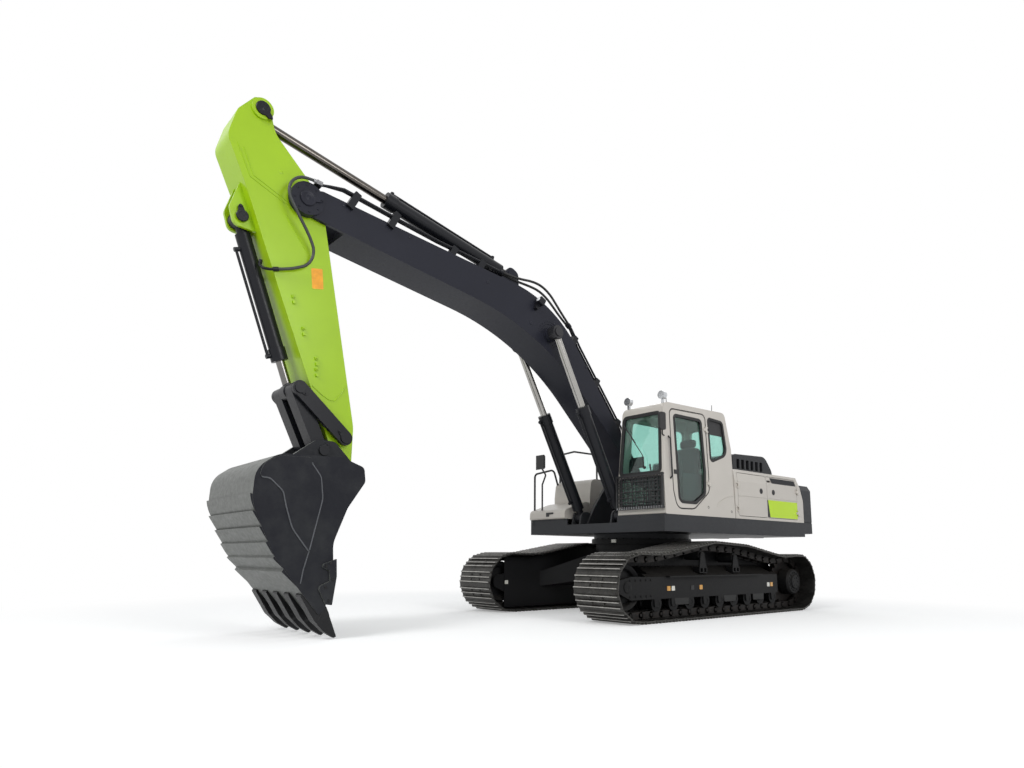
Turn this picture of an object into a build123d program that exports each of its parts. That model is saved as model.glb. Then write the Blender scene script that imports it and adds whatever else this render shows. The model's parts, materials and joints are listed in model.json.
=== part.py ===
"""Crawler excavator with boom, arm and bucket, in millimetres.

The model is laid out about the slew axis: X forward, Y to the left, Z up, ground at Z = 0.
Each piece is then moved along X so that the origin lies below the middle of the whole machine.
"""
import math
import os

from build123d import *

os.makedirs("parts", exist_ok=True)

# Clearances
running = 0.1          # radial play of a pin in its bore
side_play = 6.0        # between a moving eye and the plates beside it
seat = 0.3             # between pieces of one body that lie on each other
panel_gap = 8.0        # between a door and its frame

# Undercarriage
gauge = 2650.0
shoe_width = 800.0
shoe_pitch = 216.0
shoe_thickness = 14.0
grouser_height = 26.0
pin_to_shoe = 55.0
pin_to_rail = 50.0
rail_width = 45.0
rail_spacing = 215.0
wheel_height = 470.0
idler_x = 2060.0
sprocket_x = -2110.0
carrier_rollers = ((360.0, 1130.0), (-500.0, 1090.0))   # x, height of the shoes above it
sag_points = ((1500.0, 945.0), (-1540.0, 925.0))        # x, height of the shoes
track_roller_count = 9
roller_front_x = 1440.0
roller_rear_x = -1560.0
roller_radius = 90.0
roller_flange = 110.0
roller_shaft_radius = 38.0
frame_width = 350.0
frame_front_x = 1690.0
frame_rear_x = -1690.0
frame_top = 640.0
frame_bottom = 300.0
final_drive_radius = 215.0
final_drive_face = 1600.0
sprocket_teeth = 21
carbody_bottom = 520.0
carbody_top = 1080.0
drum_radius = 760.0
ring_radius = 830.0
ring_height = 80.0
tow_eye_radius = 32.0
tow_eye_thickness = 60.0
tow_eye_x = 1180.0
tow_eye_z = 600.0

# Revolving deck and bodywork
deck_bottom = 1240.0
deck_plate = 60.0
skirt_top = 1490.0
house_half = 1460.0
deck_front_x = 1200.0
body_top = 2290.0
shoulder_z = 2100.0    # where the side panels start to lean in
shoulder_in = 36.0     # how far they lean in up to the top
body_rear_x = -2610.0
weight_shoulder_x = -3050.0
tail_x = -3450.0
weight_top = 2165.0
weight_bottom = 1300.0
weight_slope_x = -2780.0
weight_slope_z = 1880.0
deck_rear_x = weight_slope_x + seat
panel = 45.0
lift_eye_radius = 40.0
lift_eye_thickness = 60.0
hood_front_x = -1410.0
hood_rear_x = -2740.0
hood_half = 900.0
hood_top = 2720.0
engine_x = (-2500.0, -1300.0)
engine_y = (-480.0, 420.0)
engine_top = 2150.0
radiator_x = (-2450.0, -1700.0)
radiator_y = (620.0, 780.0)
radiator_top = 2180.0

# Cab
cab_front_x = 1160.0
cab_rear_x = -600.0
cab_right_y = 535.0
cab_floor = 1490.0
cab_roof = 3170.0
cab_wall = 60.0
left_lean = 60.0
right_lean = 90.0
glass_thickness = 8.0
glass_depth = 22.0

# Boom
boom_foot_x = 320.0
boom_foot_z = 2050.0
boom_length = 6570.0
boom_angle = 26.5
boom_half = 290.0
foot_pin_radius = 65.0
fork_depth = 560.0
fork_plate = 45.0
nose_boss_radius = 200.0
nose_boss_face = 335.0
nose_pin_radius = 60.0

# Arm
arm_length = 3236.0
arm_angle = -100.7
arm_play = 10.0
bucket_pin_radius = 45.0
arm_tip_radius = 140.0

# Cylinders: centre line across, pin places at rest, sizes
boom_cylinder_y = 430.0
boom_cylinder_base = (980.0, 1500.0)
boom_cylinder_eye_u = 2780.0
boom_cylinder_eye_w = 985.0
boom_barrel_radius = 92.0
boom_rod_radius = 55.0
boom_barrel_length = 1830.0
arm_cylinder_base_u = 3683.0
arm_cylinder_base_w = 1494.0
arm_cylinder_eye_u = -1016.0
arm_cylinder_eye_w = 368.0
arm_barrel_radius = 98.0
arm_rod_radius = 58.0
arm_barrel_length = boom_length - 4430.0
bucket_cylinder_base_u = 235.0
bucket_cylinder_base_w = 712.0
bucket_barrel_radius = 85.0
bucket_rod_radius = 50.0
bucket_barrel_length = arm_length - 1596.0
eye_width = 132.0
barrel_start = 165.0   # from the base pin to the barrel's full diameter

# Hydraulic lines: pipes along the boom, hoses at its bend and at the arm's pivot
pipe_radius = 16.0
pipe_stand = 100.0     # from the boom's top plate to the pipes' centres
pipe_lanes = (216.0, 264.0)
hose_radius = 18.0
fitting_radius = 26.0
arm_hose_y = 365.0     # where the arm's hoses start, outside the nose bosses
nose_port_y = arm_hose_y - hose_radius - seat

# Bucket linkage, from the bucket hinge at rest
idler_pin = (-10.0, 420.0)
joint_pin = (560.0, 930.0)
bucket_link_pin = (250.0, 250.0)
link_plate = 50.0
ear_inner = 272.0
ear_plate = 55.0

# Bucket
bucket_half = 720.0
bucket_wall = 30.0
tooth_tip = (180.0, -1790.0)
tooth_count = 5
tooth_width = 136.0
tooth_tip_width = 60.0
band_lift = 8.0        # how far each wear band is turned up about its lower edge, in degrees
cutter_thickness = 26.0


def rounded_face(corners):
    """A face in the local XY plane through corners (x, y, radius)."""
    stretches = []
    for index, (x, y, radius) in enumerate(corners):
        here = Vector(x, y)
        if radius == 0:
            stretches.append((here, None, here))
            continue
        next_corner = corners[(index + 1) % len(corners)]
        back = (Vector(*corners[index - 1][:2]) - here).normalized()
        ahead = (Vector(*next_corner[:2]) - here).normalized()
        half_angle = math.radians(back.get_angle(ahead)) / 2
        reach = radius / math.tan(half_angle)
        middle = here + (back + ahead).normalized() * (radius / math.sin(half_angle) - radius)
        stretches.append((here + back * reach, middle, here + ahead * reach))
    edges = []
    for index, (start, middle, finish) in enumerate(stretches):
        if middle is not None:
            edges.append(Edge.make_three_point_arc(start, middle, finish))
        following = stretches[(index + 1) % len(stretches)][0]
        if (following - finish).length > 0.001:
            edges.append(Edge.make_line(finish, following))
    return Face(Wire(edges))


def side_frame(x, z, angle=0.0):
    """A plane seen from the right side, with its own X axis turned up by the angle."""
    turn = math.radians(angle)
    return Plane(origin=(x, 0, z), x_dir=(math.cos(turn), 0, math.sin(turn)), z_dir=(0, -1, 0))


machine = side_frame(0, 0)


def slab(corners, y_low, y_high, frame=machine):
    """A plate with a side outline of (x, z, radius) corners between two Y values."""
    face = Pos(0, y_high, 0) * (frame.location * rounded_face(corners))
    return extrude(face, amount=y_high - y_low, dir=(0, -1, 0))


def rod_across(x, z, radius, y_low, y_high, frame=machine):
    """A round bar along Y at a point of the side frame."""
    centre = frame.from_local_coords(Vector(x, z, 0))
    base = Plane(origin=(centre.X, y_low, centre.Z), z_dir=(0, 1, 0))
    return Solid.make_cylinder(radius, y_high - y_low, base)


def block(x_low, x_high, y_low, y_high, z_low, z_high):
    """A box between two corners."""
    size = (x_high - x_low, y_high - y_low, z_high - z_low)
    place = Pos((x_low + x_high) / 2, (y_low + y_high) / 2, (z_low + z_high) / 2)
    return place * Box(*size)


def bar(start, finish, radius):
    """A round bar from point to point."""
    line = Vector(*finish) - Vector(*start)
    return Solid.make_cylinder(radius, line.length, Plane(origin=start, z_dir=line))


def tube(points, radius, bend):
    """A round tube along straight runs with rounded corners."""
    path = FilletPolyline(*points, radius=bend)
    section = Plane(origin=path @ 0, z_dir=path % 0) * Circle(radius)
    return sweep(section, path=path)


def other_side(shape):
    """The same shape on the other side of the machine's middle plane."""
    return mirror(shape, about=Plane.XZ)


def trimmed(piece, *carriers):
    """A piece cut back to the faces of the pieces that carry it."""
    for carrier in carriers:
        piece = piece - carrier
    return piece


def both_sides(shape):
    """A shape and its mirror image as separate solids."""
    return [shape, other_side(shape)]


def turned_ring(profile, x, z):
    """A revolved solid about an axis along Y, from (radius, y, corner radius) corners."""
    face = Plane(origin=(0, 0, 0), x_dir=(1, 0, 0), z_dir=(0, 0, 1)).location * rounded_face(profile)
    return Pos(x, 0, z) * revolve(face, axis=Axis.Y)


def pin_keeper(u, w, face_y, radius, reach, toward, frame=machine):
    """A pin's end disc on both sides, with its keeper plate and the plate's bolt."""
    turn = math.radians(toward)
    end = (u + (reach - 24) * math.cos(turn), w + (reach - 24) * math.sin(turn))
    keeper = rod_across(u, w, radius, face_y - 2, face_y + 16, frame)
    keeper += tangent_link((u, w), end, 40, 24, face_y - 2, face_y + 12, frame)
    keeper += rod_across(*end, 13, face_y, face_y + 22, frame)
    return keeper + other_side(keeper)


def tangent_link(start, finish, start_radius, finish_radius, y_low, y_high, frame=machine):
    """A flat link with round ends between two pins of the side frame."""
    (ax, az), (bx, bz) = start, finish
    length = math.hypot(bx - ax, bz - az)
    along = math.atan2(bz - az, bx - ax)
    lean = math.acos((start_radius - finish_radius) / length)
    corners = []
    for (x, z), radius, side in (
        (start, start_radius, 1),
        (finish, finish_radius, 1),
        (finish, finish_radius, -1),
        (start, start_radius, -1),
    ):
        angle = along + side * lean
        corners.append((x + radius * math.cos(angle), z + radius * math.sin(angle), 0))
    body = slab(corners, y_low, y_high, frame)
    body += rod_across(ax, az, start_radius, y_low, y_high, frame)
    body += rod_across(bx, bz, finish_radius, y_low, y_high, frame)
    return body


# Track loop
pitch_radius = wheel_height - grouser_height - shoe_thickness - pin_to_shoe
shoe_face = pin_to_shoe + shoe_thickness
track_depth = shoe_face + grouser_height
track_centre = gauge / 2


def track_path():
    """The closed line through the chain's pins, as seen from the side."""
    low = wheel_height - pitch_radius
    high = wheel_height + pitch_radius
    upper = [Vector(idler_x, high)]
    places = [sag_points[0], *carrier_rollers, sag_points[1]]
    upper += [Vector(x, height - track_depth) for x, height in places]
    upper.append(Vector(sprocket_x, high))
    run = FilletPolyline(*upper, radius=500)
    front = Edge.make_three_point_arc(
        Vector(idler_x, low), Vector(idler_x + pitch_radius, wheel_height), Vector(idler_x, high)
    )
    rear = Edge.make_three_point_arc(
        Vector(sprocket_x, high), Vector(sprocket_x - pitch_radius, wheel_height),
        Vector(sprocket_x, low)
    )
    ground = Edge.make_line(Vector(sprocket_x, low), Vector(idler_x, low))
    return Wire([ground, front, *run.edges(), rear])


def chain_pins():
    """The chain's pin centres in order, ground run first, at one even pitch."""
    path = track_path()
    count = round(path.length / shoe_pitch)
    return [path.position_at(index / count) for index in range(count)]


def track_outline(pins):
    """The outer side line of the shoes with three grousers on each."""
    grouser_places = (-0.36, 0.0, 0.36)
    root = 13.0
    points = []
    for index, pin in enumerate(pins):
        following = pins[(index + 1) % len(pins)]
        along = (following - pin).normalized()
        out = Vector(along.Y, -along.X)
        pitch = (following - pin).length
        middle = (pin + following) * 0.5
        points.append(pin + out * pin_to_shoe + out * 3)
        for place in grouser_places:
            for step, height in ((-root, shoe_face), (0, track_depth), (root, shoe_face)):
                points.append(middle + along * (place * pitch + step) + out * height)
    return points


def chain_line(pins, offset):
    """The chain's line moved outwards from its pins by an offset."""
    points = []
    for index, pin in enumerate(pins):
        chord = (pins[(index + 1) % len(pins)] - pins[index - 1]).normalized()
        points.append(pin + Vector(chord.Y, -chord.X) * offset)
    return points


def loop_band(outer, inner, y_low, y_high):
    """A closed band between two side outlines."""
    face = Face(Wire.make_polygon(outer)) - Face(Wire.make_polygon(inner))
    placed = Pos(0, y_high, 0) * (machine.location * face)
    return extrude(placed, amount=y_high - y_low, dir=(0, -1, 0))


def make_track():
    """One track on the left: shoes in a loop on the two rails of their chain."""
    pins = chain_pins()
    under_shoes = chain_line(pins, pin_to_shoe)
    half = shoe_width / 2
    track = loop_band(track_outline(pins), under_shoes, track_centre - half, track_centre + half)
    for side in (-1, 1):
        middle = track_centre + side * rail_spacing / 2
        rail = loop_band(
            chain_line(pins, pin_to_shoe + 5),
            chain_line(pins, -pin_to_rail),
            middle - rail_width / 2,
            middle + rail_width / 2,
        )
        track += rail
    return track


rail_inner = (rail_spacing - rail_width) / 2
rail_outer = (rail_spacing + rail_width) / 2
half_step = math.asin(shoe_pitch / 2 / pitch_radius)
tread_radius = pitch_radius * math.cos(half_step) - pin_to_rail - 8.0


def make_idlers():
    """The front idler wheels with a centre flange between the rails."""
    flange = tread_radius + 25
    wheel = turned_ring(
        [
            (60, -95, 0), (120, -95, 0), (120, -60, 0), (tread_radius - 70, -45, 30),
            (tread_radius - 50, -95, 10), (tread_radius, -rail_outer, 0),
            (tread_radius, -rail_inner + 8, 0), (flange, -rail_inner + 18, 0),
            (flange, rail_inner - 18, 0), (tread_radius, rail_inner - 8, 0),
            (tread_radius, rail_outer, 0), (tread_radius - 50, 95, 10), (tread_radius - 70, 45, 30),
            (120, 60, 0), (120, 95, 0), (60, 95, 0),
        ],
        idler_x,
        wheel_height,
    )
    return both_sides(Pos(0, track_centre, 0) * wheel)


def make_sprockets():
    """The rear sprockets, toothed rims between the rails."""
    root_radius = pitch_radius - 40
    tip_radius = pitch_radius + 12
    points = []
    for tooth in range(sprocket_teeth):
        centre = 2 * math.pi * tooth / sprocket_teeth
        half = math.pi / sprocket_teeth
        corners = ((-0.75, root_radius), (-0.3, tip_radius), (0.3, tip_radius), (0.75, root_radius))
        for share, radius in corners:
            angle = centre + share * half
            points.append(Vector(radius * math.cos(angle), radius * math.sin(angle)))
    frame = side_frame(sprocket_x, wheel_height)
    face = Face(Wire.make_polygon(points)) - Face(Wire.make_circle(final_drive_radius - 25))
    rim = extrude(Pos(0, track_centre + 35, 0) * (frame.location * face), amount=70, dir=(0, -1, 0))
    return both_sides(rim)


def make_final_drives():
    """The drive drums that carry the sprockets, with a stepped round cover."""
    inner = track_centre - frame_width / 2
    bolt_face = final_drive_face - track_centre
    inner_face = inner - track_centre
    drum = turned_ring(
        [
            (0, inner_face, 0), (final_drive_radius - 25 - seat, inner_face, 0),
            (final_drive_radius - 25 - seat, 60, 0), (final_drive_radius, 60, 0),
            (final_drive_radius, bolt_face - 60, 15), (final_drive_radius - 25, bolt_face - 25, 10),
            (final_drive_radius - 95, bolt_face - 25, 0), (final_drive_radius - 105, bolt_face, 8),
            (0, bolt_face, 0),
        ],
        sprocket_x,
        wheel_height,
    )
    return both_sides(Pos(0, track_centre, 0) * drum)


rail_height = wheel_height - pitch_radius + pin_to_rail
roller_z = rail_height + roller_radius + seat


def roller_places():
    """Where the lower rollers stand along the track."""
    step = (roller_front_x - roller_rear_x) / (track_roller_count - 1)
    return [roller_rear_x + step * index for index in range(track_roller_count)]


def make_track_rollers():
    """The lower rollers, flanged outside the rails, with their shaft ends."""
    half_profile = [
        (roller_radius - 18, 50, 0), (roller_radius, 70, 0), (roller_radius, 131, 0), (roller_flange, 135, 8),
        (roller_flange, 150, 0), (roller_shaft_radius, 150, 0), (roller_shaft_radius, 168, 0), (0, 168, 0),
    ]
    profile = [(radius, -y, corner) for radius, y, corner in reversed(half_profile)] + half_profile
    roller = turned_ring(profile, 0, roller_z)
    rollers = []
    for x in roller_places():
        rollers += both_sides(Pos(x, track_centre, 0) * roller)
    return rollers


def make_carrier_rollers():
    """The upper rollers on their stands."""
    radius = 75.0
    pieces = []
    for x, height in carrier_rollers:
        axle_z = height - track_depth - pin_to_rail - radius - 6
        roller = turned_ring(
            [(0, -135, 0), (radius, -135, 0), (radius, 135, 0), (0, 135, 0)], x, axle_z
        )
        foot_z = frame_top + seat
        stand = slab(
            [(x - 85, foot_z + 80, 0), (x + 85, foot_z + 80, 0), (x + 45, axle_z + 45, 30),
             (x - 45, axle_z + 45, 30)],
            140, 165,
        )
        stand += block(x - 95, x + 95, 50, 172, foot_z, foot_z + 90)
        for middle in (x - 45, x + 45):
            stand -= block(middle - 28, middle + 28, 45, 180, foot_z + 17, foot_z + 73)
        stub = rod_across(x, axle_z, 40, 130, 150)
        pieces += both_sides(Pos(0, track_centre, 0) * (roller + stand + stub))
    return pieces


def make_track_frame():
    """The left track frame: a box girder open below, with yokes for idler and drive."""
    half = frame_width / 2
    wall = 22.0
    section = Polyline(
        (-half, frame_bottom), (-half, 600), (-half + 60, frame_top), (half - 60, frame_top),
        (half, 600), (half, frame_bottom), (half - wall, frame_bottom), (half - wall, 365), (-half + wall, 365),
        (-half + wall, frame_bottom), close=True,
    )
    start = Plane(origin=(frame_rear_x, 0, 0), x_dir=(0, 1, 0), z_dir=(1, 0, 0))
    face = start.location * Face(Wire(section.edges()))
    frame = extrude(face, amount=frame_front_x - frame_rear_x, dir=(1, 0, 0))
    for side in (-1, 1):
        low, high = sorted((side * (half - 45), side * half))
        yoke = slab(
            [(frame_front_x - 150, frame_bottom, 30), (idler_x - 60, frame_bottom, 30),
             (idler_x + 190, 400, 80),
             (idler_x + 190, 560, 80), (idler_x - 80, 610, 60), (frame_front_x - 150, 600, 0)],
            low, high,
        )
        frame += yoke
    frame += rod_across(idler_x, wheel_height, 59, -half + 45, half - 45)
    drive_plate = slab(
        [(frame_rear_x + 200, frame_bottom, 30), (sprocket_x, wheel_height - 280, 120),
         (sprocket_x - 270, wheel_height - 250, 150), (sprocket_x - 270, wheel_height + 230, 150),
         (sprocket_x, wheel_height + 260, 120), (frame_rear_x + 200, 610, 30)],
        -half - 40, -half,
    )
    frame += drive_plate
    for x in roller_places():
        for side in (-1, 1):
            low, high = sorted((side * (half - wall), side * (half - 3)))
            hanger = slab(
                [(x - 60, roller_z - 45, 25), (x + 60, roller_z - 45, 25),
                 (x + 75, frame_bottom + 30, 0),
                 (x - 75, frame_bottom + 30, 0)],
                low, high,
            )
            frame += hanger
        frame -= rod_across(x, roller_z, roller_shaft_radius + seat, -half, half)
    ledge = block(-1150, 1250, half, half + 70, 590, 612)
    frame += ledge
    return Pos(0, track_centre, 0) * frame


def make_carbody():
    """The centre of the undercarriage: a drum on four legs, with tow eyes."""
    height = carbody_top - carbody_bottom
    body = Pos(0, 0, carbody_bottom + height / 2) * Cylinder(drum_radius, height)
    inner = track_centre - frame_width / 2
    for front in (-1, 1):
        root = Plane(origin=(front * 330, 300, 760), x_dir=(1, 0, 0), z_dir=(0, 1, 0))
        foot = Plane(origin=(front * 900, inner, 500), x_dir=(1, 0, 0), z_dir=(0, 1, 0))
        leg = loft([root * Rectangle(620, 440), foot * Rectangle(760, 240)])
        body += leg
        body += other_side(leg)
    for front in (-1, 1):
        place = Pos(front * tow_eye_x, 0, tow_eye_z)
        low, high = sorted((front * 500, front * (tow_eye_x - 110)))
        body += block(low, high, -130, 130, tow_eye_z - 60, tow_eye_z + 100)
        low, high = sorted((front * (tow_eye_x - 150), front * tow_eye_x))
        lug_low, lug_high = tow_eye_z - tow_eye_thickness / 2, tow_eye_z + tow_eye_thickness / 2
        body += block(low, high, -85, 85, lug_low, lug_high)
        body += place * Cylinder(85, tow_eye_thickness)
        body -= place * Cylinder(tow_eye_radius, 2 * tow_eye_thickness)
    return body


ring_top = carbody_top + ring_height


def make_slew_ring():
    """The fixed outer ring of the slewing bearing."""
    ring = Cylinder(ring_radius, ring_height) - Cylinder(ring_radius - 150, ring_height)
    return Pos(0, 0, carbody_top + ring_height / 2) * ring


boom_frame = side_frame(boom_foot_x, boom_foot_z, boom_angle)
nose = boom_frame.from_local_coords(Vector(boom_length, 0, 0))
arm_frame = side_frame(nose.X, nose.Z, arm_angle)
arm_tip = arm_frame.from_local_coords(Vector(arm_length, 0, 0))
bucket_frame = side_frame(arm_tip.X, arm_tip.Z)
arm_half = boom_half - fork_plate - arm_play

fork_inner = boom_half + side_play
fork_outer = fork_inner + 55
clevis_inner = eye_width / 2 + side_play
clevis_outer = clevis_inner + 32


def make_main_frame():
    """The revolving deck with its boom brackets, cylinder clevises and side rails."""
    deck = block(deck_rear_x, deck_front_x, -house_half, house_half, deck_bottom,
                 deck_bottom + deck_plate)
    height = deck_bottom - ring_top - 0.5
    deck += Pos(0, 0, deck_bottom - height / 2) * Cylinder(ring_radius - 40, height)
    for side in (-1, 1):
        low, high = sorted((side * (house_half - 70), side * house_half))
        deck += block(deck_rear_x, deck_front_x, low, high, deck_bottom, skirt_top)
        low, high = sorted((side * fork_inner, side * (fork_inner + 180)))
        deck += block(weight_shoulder_x, deck_rear_x + 100, low, high, deck_bottom,
                      weight_bottom - seat)
        low, high = sorted((side * fork_inner, side * fork_outer))
        deck += slab(
            [(-1150, deck_bottom + 30, 0), (1050, deck_bottom + 30, 60), (800, 1700, 300),
             (boom_foot_x + 130, boom_foot_z + 90, 100), (boom_foot_x - 130, boom_foot_z + 110, 100),
             (-500, 1750, 300)],
            low, high,
        )
        base_x, base_z = boom_cylinder_base
        for inner, outer in ((-clevis_outer, -clevis_inner), (clevis_inner, clevis_outer)):
            low, high = sorted((side * (boom_cylinder_y + inner), side * (boom_cylinder_y + outer)))
            deck += slab(
                [(base_x - 240, deck_bottom + 30, 0), (base_x + 170, deck_bottom + 30, 0),
                 (base_x + 95, base_z + 95, 90), (base_x - 95, base_z + 95, 90)],
                low, high,
            )
        low, high = sorted((side * (boom_cylinder_y - clevis_outer),
                            side * (boom_cylinder_y + clevis_outer)))
        deck += rod_across(base_x, base_z, 50, low, high)
    deck += rod_across(boom_foot_x, boom_foot_z, foot_pin_radius, -fork_outer, fork_outer)
    deck += block(deck_front_x - 60, deck_front_x, -house_half, house_half, deck_bottom,
                  skirt_top - 100)
    return deck


def weight_plan(inset):
    """The counterweight's outline seen from above, moved in by an inset."""
    side = house_half - inset
    shoulder = weight_shoulder_x + inset / 2
    front = weight_slope_x + 200
    half = Vector(shoulder, side)
    tail = Vector(tail_x + inset, 0)
    rear = Edge.make_three_point_arc(half, tail, Vector(shoulder, -side))
    lines = Wire.make_polygon(
        [Vector(shoulder, -side), Vector(front, -side), Vector(front, side), half], close=False
    )
    return Face(Wire([rear, *lines.edges()]))


def make_counterweight():
    """The cast tail weight, curved in plan, with two lifting eyes on top."""
    weight = extrude(Pos(0, 0, weight_bottom) * weight_plan(0), amount=weight_top - 90 - weight_bottom)
    weight += loft([Pos(0, 0, weight_top - 90) * weight_plan(0),
                    Pos(0, 0, weight_top) * weight_plan(45)])
    away = slab(
        [(weight_slope_x + 400, weight_bottom - 50, 0), (weight_slope_x + 400, weight_top + 100, 0),
         (body_rear_x - 17, weight_top + 100, 0), (weight_slope_x, weight_slope_z, 150),
         (weight_slope_x, weight_bottom - 50, 0)],
        -house_half - 50, house_half + 50,
    )
    weight -= away
    weight -= block(tail_x, tail_x + 4000, -house_half - 20, -house_half + 12, skirt_top,
                    skirt_top + 14)
    weight -= block(tail_x, tail_x + 4000, house_half - 12, house_half + 20, skirt_top, skirt_top + 14)
    eye_x = weight_shoulder_x
    for y in (-800, 800):
        low, high = y - lift_eye_thickness / 2, y + lift_eye_thickness / 2
        weight += slab(
            [(eye_x - 130, weight_top - 20, 0), (eye_x + 130, weight_top - 20, 0),
             (eye_x + 70, weight_top + 130, 65), (eye_x - 70, weight_top + 130, 65)],
            low, high,
        )
        weight -= rod_across(eye_x, weight_top + 65, lift_eye_radius, low - 5, high + 5)
    return weight


def hinge(origin, door_side, pin_side, pin_radius=9.0, reach=50.0, stand_off=20.0, length=46.0):
    """A butt hinge: the fixed pin with its two lugs, and the moving knuckle with its leaf.

    The pin lies along pin_side, the door lies towards door_side, and the panel's outer face
    is stand_off below the pin.
    """
    frame = Plane(origin=origin, x_dir=door_side, z_dir=pin_side).location
    lug = 22.0
    gap = 1.0
    outer = pin_radius + 7
    pin = Cylinder(pin_radius, length + 2 * (lug + gap))
    for side in (-1, 1):
        middle = side * (length / 2 + gap + lug / 2)
        pin += Pos(0, 0, middle) * Cylinder(outer, lug)
        pin += Pos(-reach / 2, -stand_off / 2, middle) * Box(reach, stand_off, lug)
    leaf = Pos(reach / 2, -stand_off / 2, 0) * Box(reach, stand_off, length) + Cylinder(outer, length)
    leaf -= Cylinder(pin_radius + running, length)
    return frame * pin, frame * leaf


left_door_split = -1570.0
left_door_bottom = 1540.0
left_door_top = 2235.0
left_front_hinge_x = -690.0
left_rear_hinge_x = -2560.0
right_door_front_x = -760.0
right_door_rear_x = -2520.0
hinge_stand_off = 20.0
louvre_z = 2140.0
louvre_pitch = 160.0
louvre_slot = 132.0


def above_shoulder(side):
    """What the side panels lose where they lean in towards the top."""
    face = Face(Wire.make_polygon([
        Vector(0, side * house_half, shoulder_z),
        Vector(0, side * (house_half + 60), shoulder_z),
        Vector(0, side * (house_half + 60), body_top + 60),
        Vector(0, side * (house_half - shoulder_in * (body_top + 60 - shoulder_z)
                          / (body_top - shoulder_z)), body_top + 60),
    ]))
    return extrude(Pos(tail_x, 0, 0) * face, amount=-tail_x, dir=(1, 0, 0))


def door_panel(x_low, x_high, side):
    """A service door in a side wall, as thick as the wall, between two X values."""
    low, high = sorted((side * (house_half - panel), side * house_half))
    door = slab(
        [(x_low, left_door_bottom, 40), (x_high, left_door_bottom, 40), (x_high, left_door_top, 40),
         (x_low, left_door_top, 40)],
        low, high,
    )
    return door - above_shoulder(side)


def add_louvre(door, x_low, count, side):
    """A row of air slots near a door's upper edge."""
    low, high = sorted((side * (house_half - panel - 5), side * (house_half + 5)))
    for index in range(count):
        x = x_low + index * louvre_pitch
        door -= slab(
            [(x, louvre_z, 14), (x + louvre_slot, louvre_z, 14),
             (x + louvre_slot, louvre_z + 34, 14), (x, louvre_z + 34, 14)],
            low, high,
        )
    return door


def side_housing(side, x_front, openings):
    """The bodywork on one side of the engine bay, open inwards, with door openings."""
    inner = hood_half + seat
    low, high = sorted((side * inner, side * house_half))
    rear_top = body_rear_x + 10
    shell = slab(
        [(x_front, skirt_top + seat, 0), (x_front, body_top, 60), (rear_top, body_top, 0),
         (weight_slope_x + 12, weight_slope_z, 150), (weight_slope_x + 12, skirt_top + seat, 0)],
        low, high,
    )
    low, high = sorted((side * (inner - 10), side * (house_half - panel)))
    shell -= slab(
        [(x_front - panel, skirt_top - 10, 0), (x_front - panel, body_top - panel, 20),
         (rear_top + panel, body_top - panel, 0), (weight_slope_x + 12 + panel, weight_slope_z, 150),
         (weight_slope_x + 12 + panel, skirt_top - 10, 0)],
        low, high,
    )
    for x_low, x_high in openings:
        low, high = sorted((side * (house_half - 2 * panel), side * (house_half + 10)))
        shell -= slab(
            [(x_low - panel_gap, left_door_bottom - panel_gap, 48),
             (x_high + panel_gap, left_door_bottom - panel_gap, 48),
             (x_high + panel_gap, left_door_top + panel_gap, 48),
             (x_low - panel_gap, left_door_top + panel_gap, 48)],
            low, high,
        )
    return shell - above_shoulder(side)


def add_side_doors():
    """The two left doors, the right door and the housings that carry them."""
    left_front = (left_door_split + panel_gap / 2, left_front_hinge_x - panel_gap)
    left_rear = (left_rear_hinge_x + panel_gap, left_door_split - panel_gap / 2)
    housing = side_housing(1, cab_rear_x - 12, [left_front, left_rear])
    front_door = door_panel(*left_front, 1)
    rear_door = add_louvre(door_panel(*left_rear, 1), left_rear[0] + 30, 6, 1)
    for height in (1650.0, 2030.0):
        pin, leaf = hinge((left_front_hinge_x, house_half + hinge_stand_off, height), (-1, 0, 0),
                          (0, 0, -1))
        housing += pin
        front_door += leaf
        pin, leaf = hinge((left_rear_hinge_x, house_half + hinge_stand_off, height), (1, 0, 0),
                          (0, 0, 1))
        housing += pin
        rear_door += leaf
    nodes["left_housing"] = housing
    nodes["left_front_door"] = front_door
    nodes["left_rear_door"] = rear_door
    right = (right_door_rear_x + panel_gap, right_door_front_x)
    housing = side_housing(-1, right_door_front_x + 60, [right])
    door = add_louvre(door_panel(*right, -1), right[0] + 60, 10, -1)
    for height in (1650.0, 2030.0):
        pin, leaf = hinge((right_door_rear_x, -house_half - hinge_stand_off, height), (1, 0, 0),
                          (0, 0, -1))
        housing += pin
        door += leaf
    nodes["right_housing"] = housing
    nodes["right_service_door"] = door


def make_top_cover():
    """The plates between the housings: bulkhead, cover before the hood and rear deck."""
    front = right_door_front_x + 60
    cover = block(hood_front_x + 12, front, -hood_half, hood_half, body_top - panel, body_top)
    cover += block(front - panel, front, -fork_inner - 60, fork_inner + 60, deck_bottom + deck_plate,
                   body_top)
    for side in (-1, 1):
        low, high = sorted((side * (fork_outer + seat), side * hood_half))
        cover += block(front - panel, front, low, high, deck_bottom + deck_plate + seat, body_top)
    for side in (-1, 1):
        low, high = sorted((side * (hood_half - 110), side * (hood_half - 60)))
        cover += block(weight_slope_x + 60, hood_front_x + 60, low, high, body_top - 70, body_top - 8)
    return cover


hood_hinge_z = body_top + 40


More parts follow.
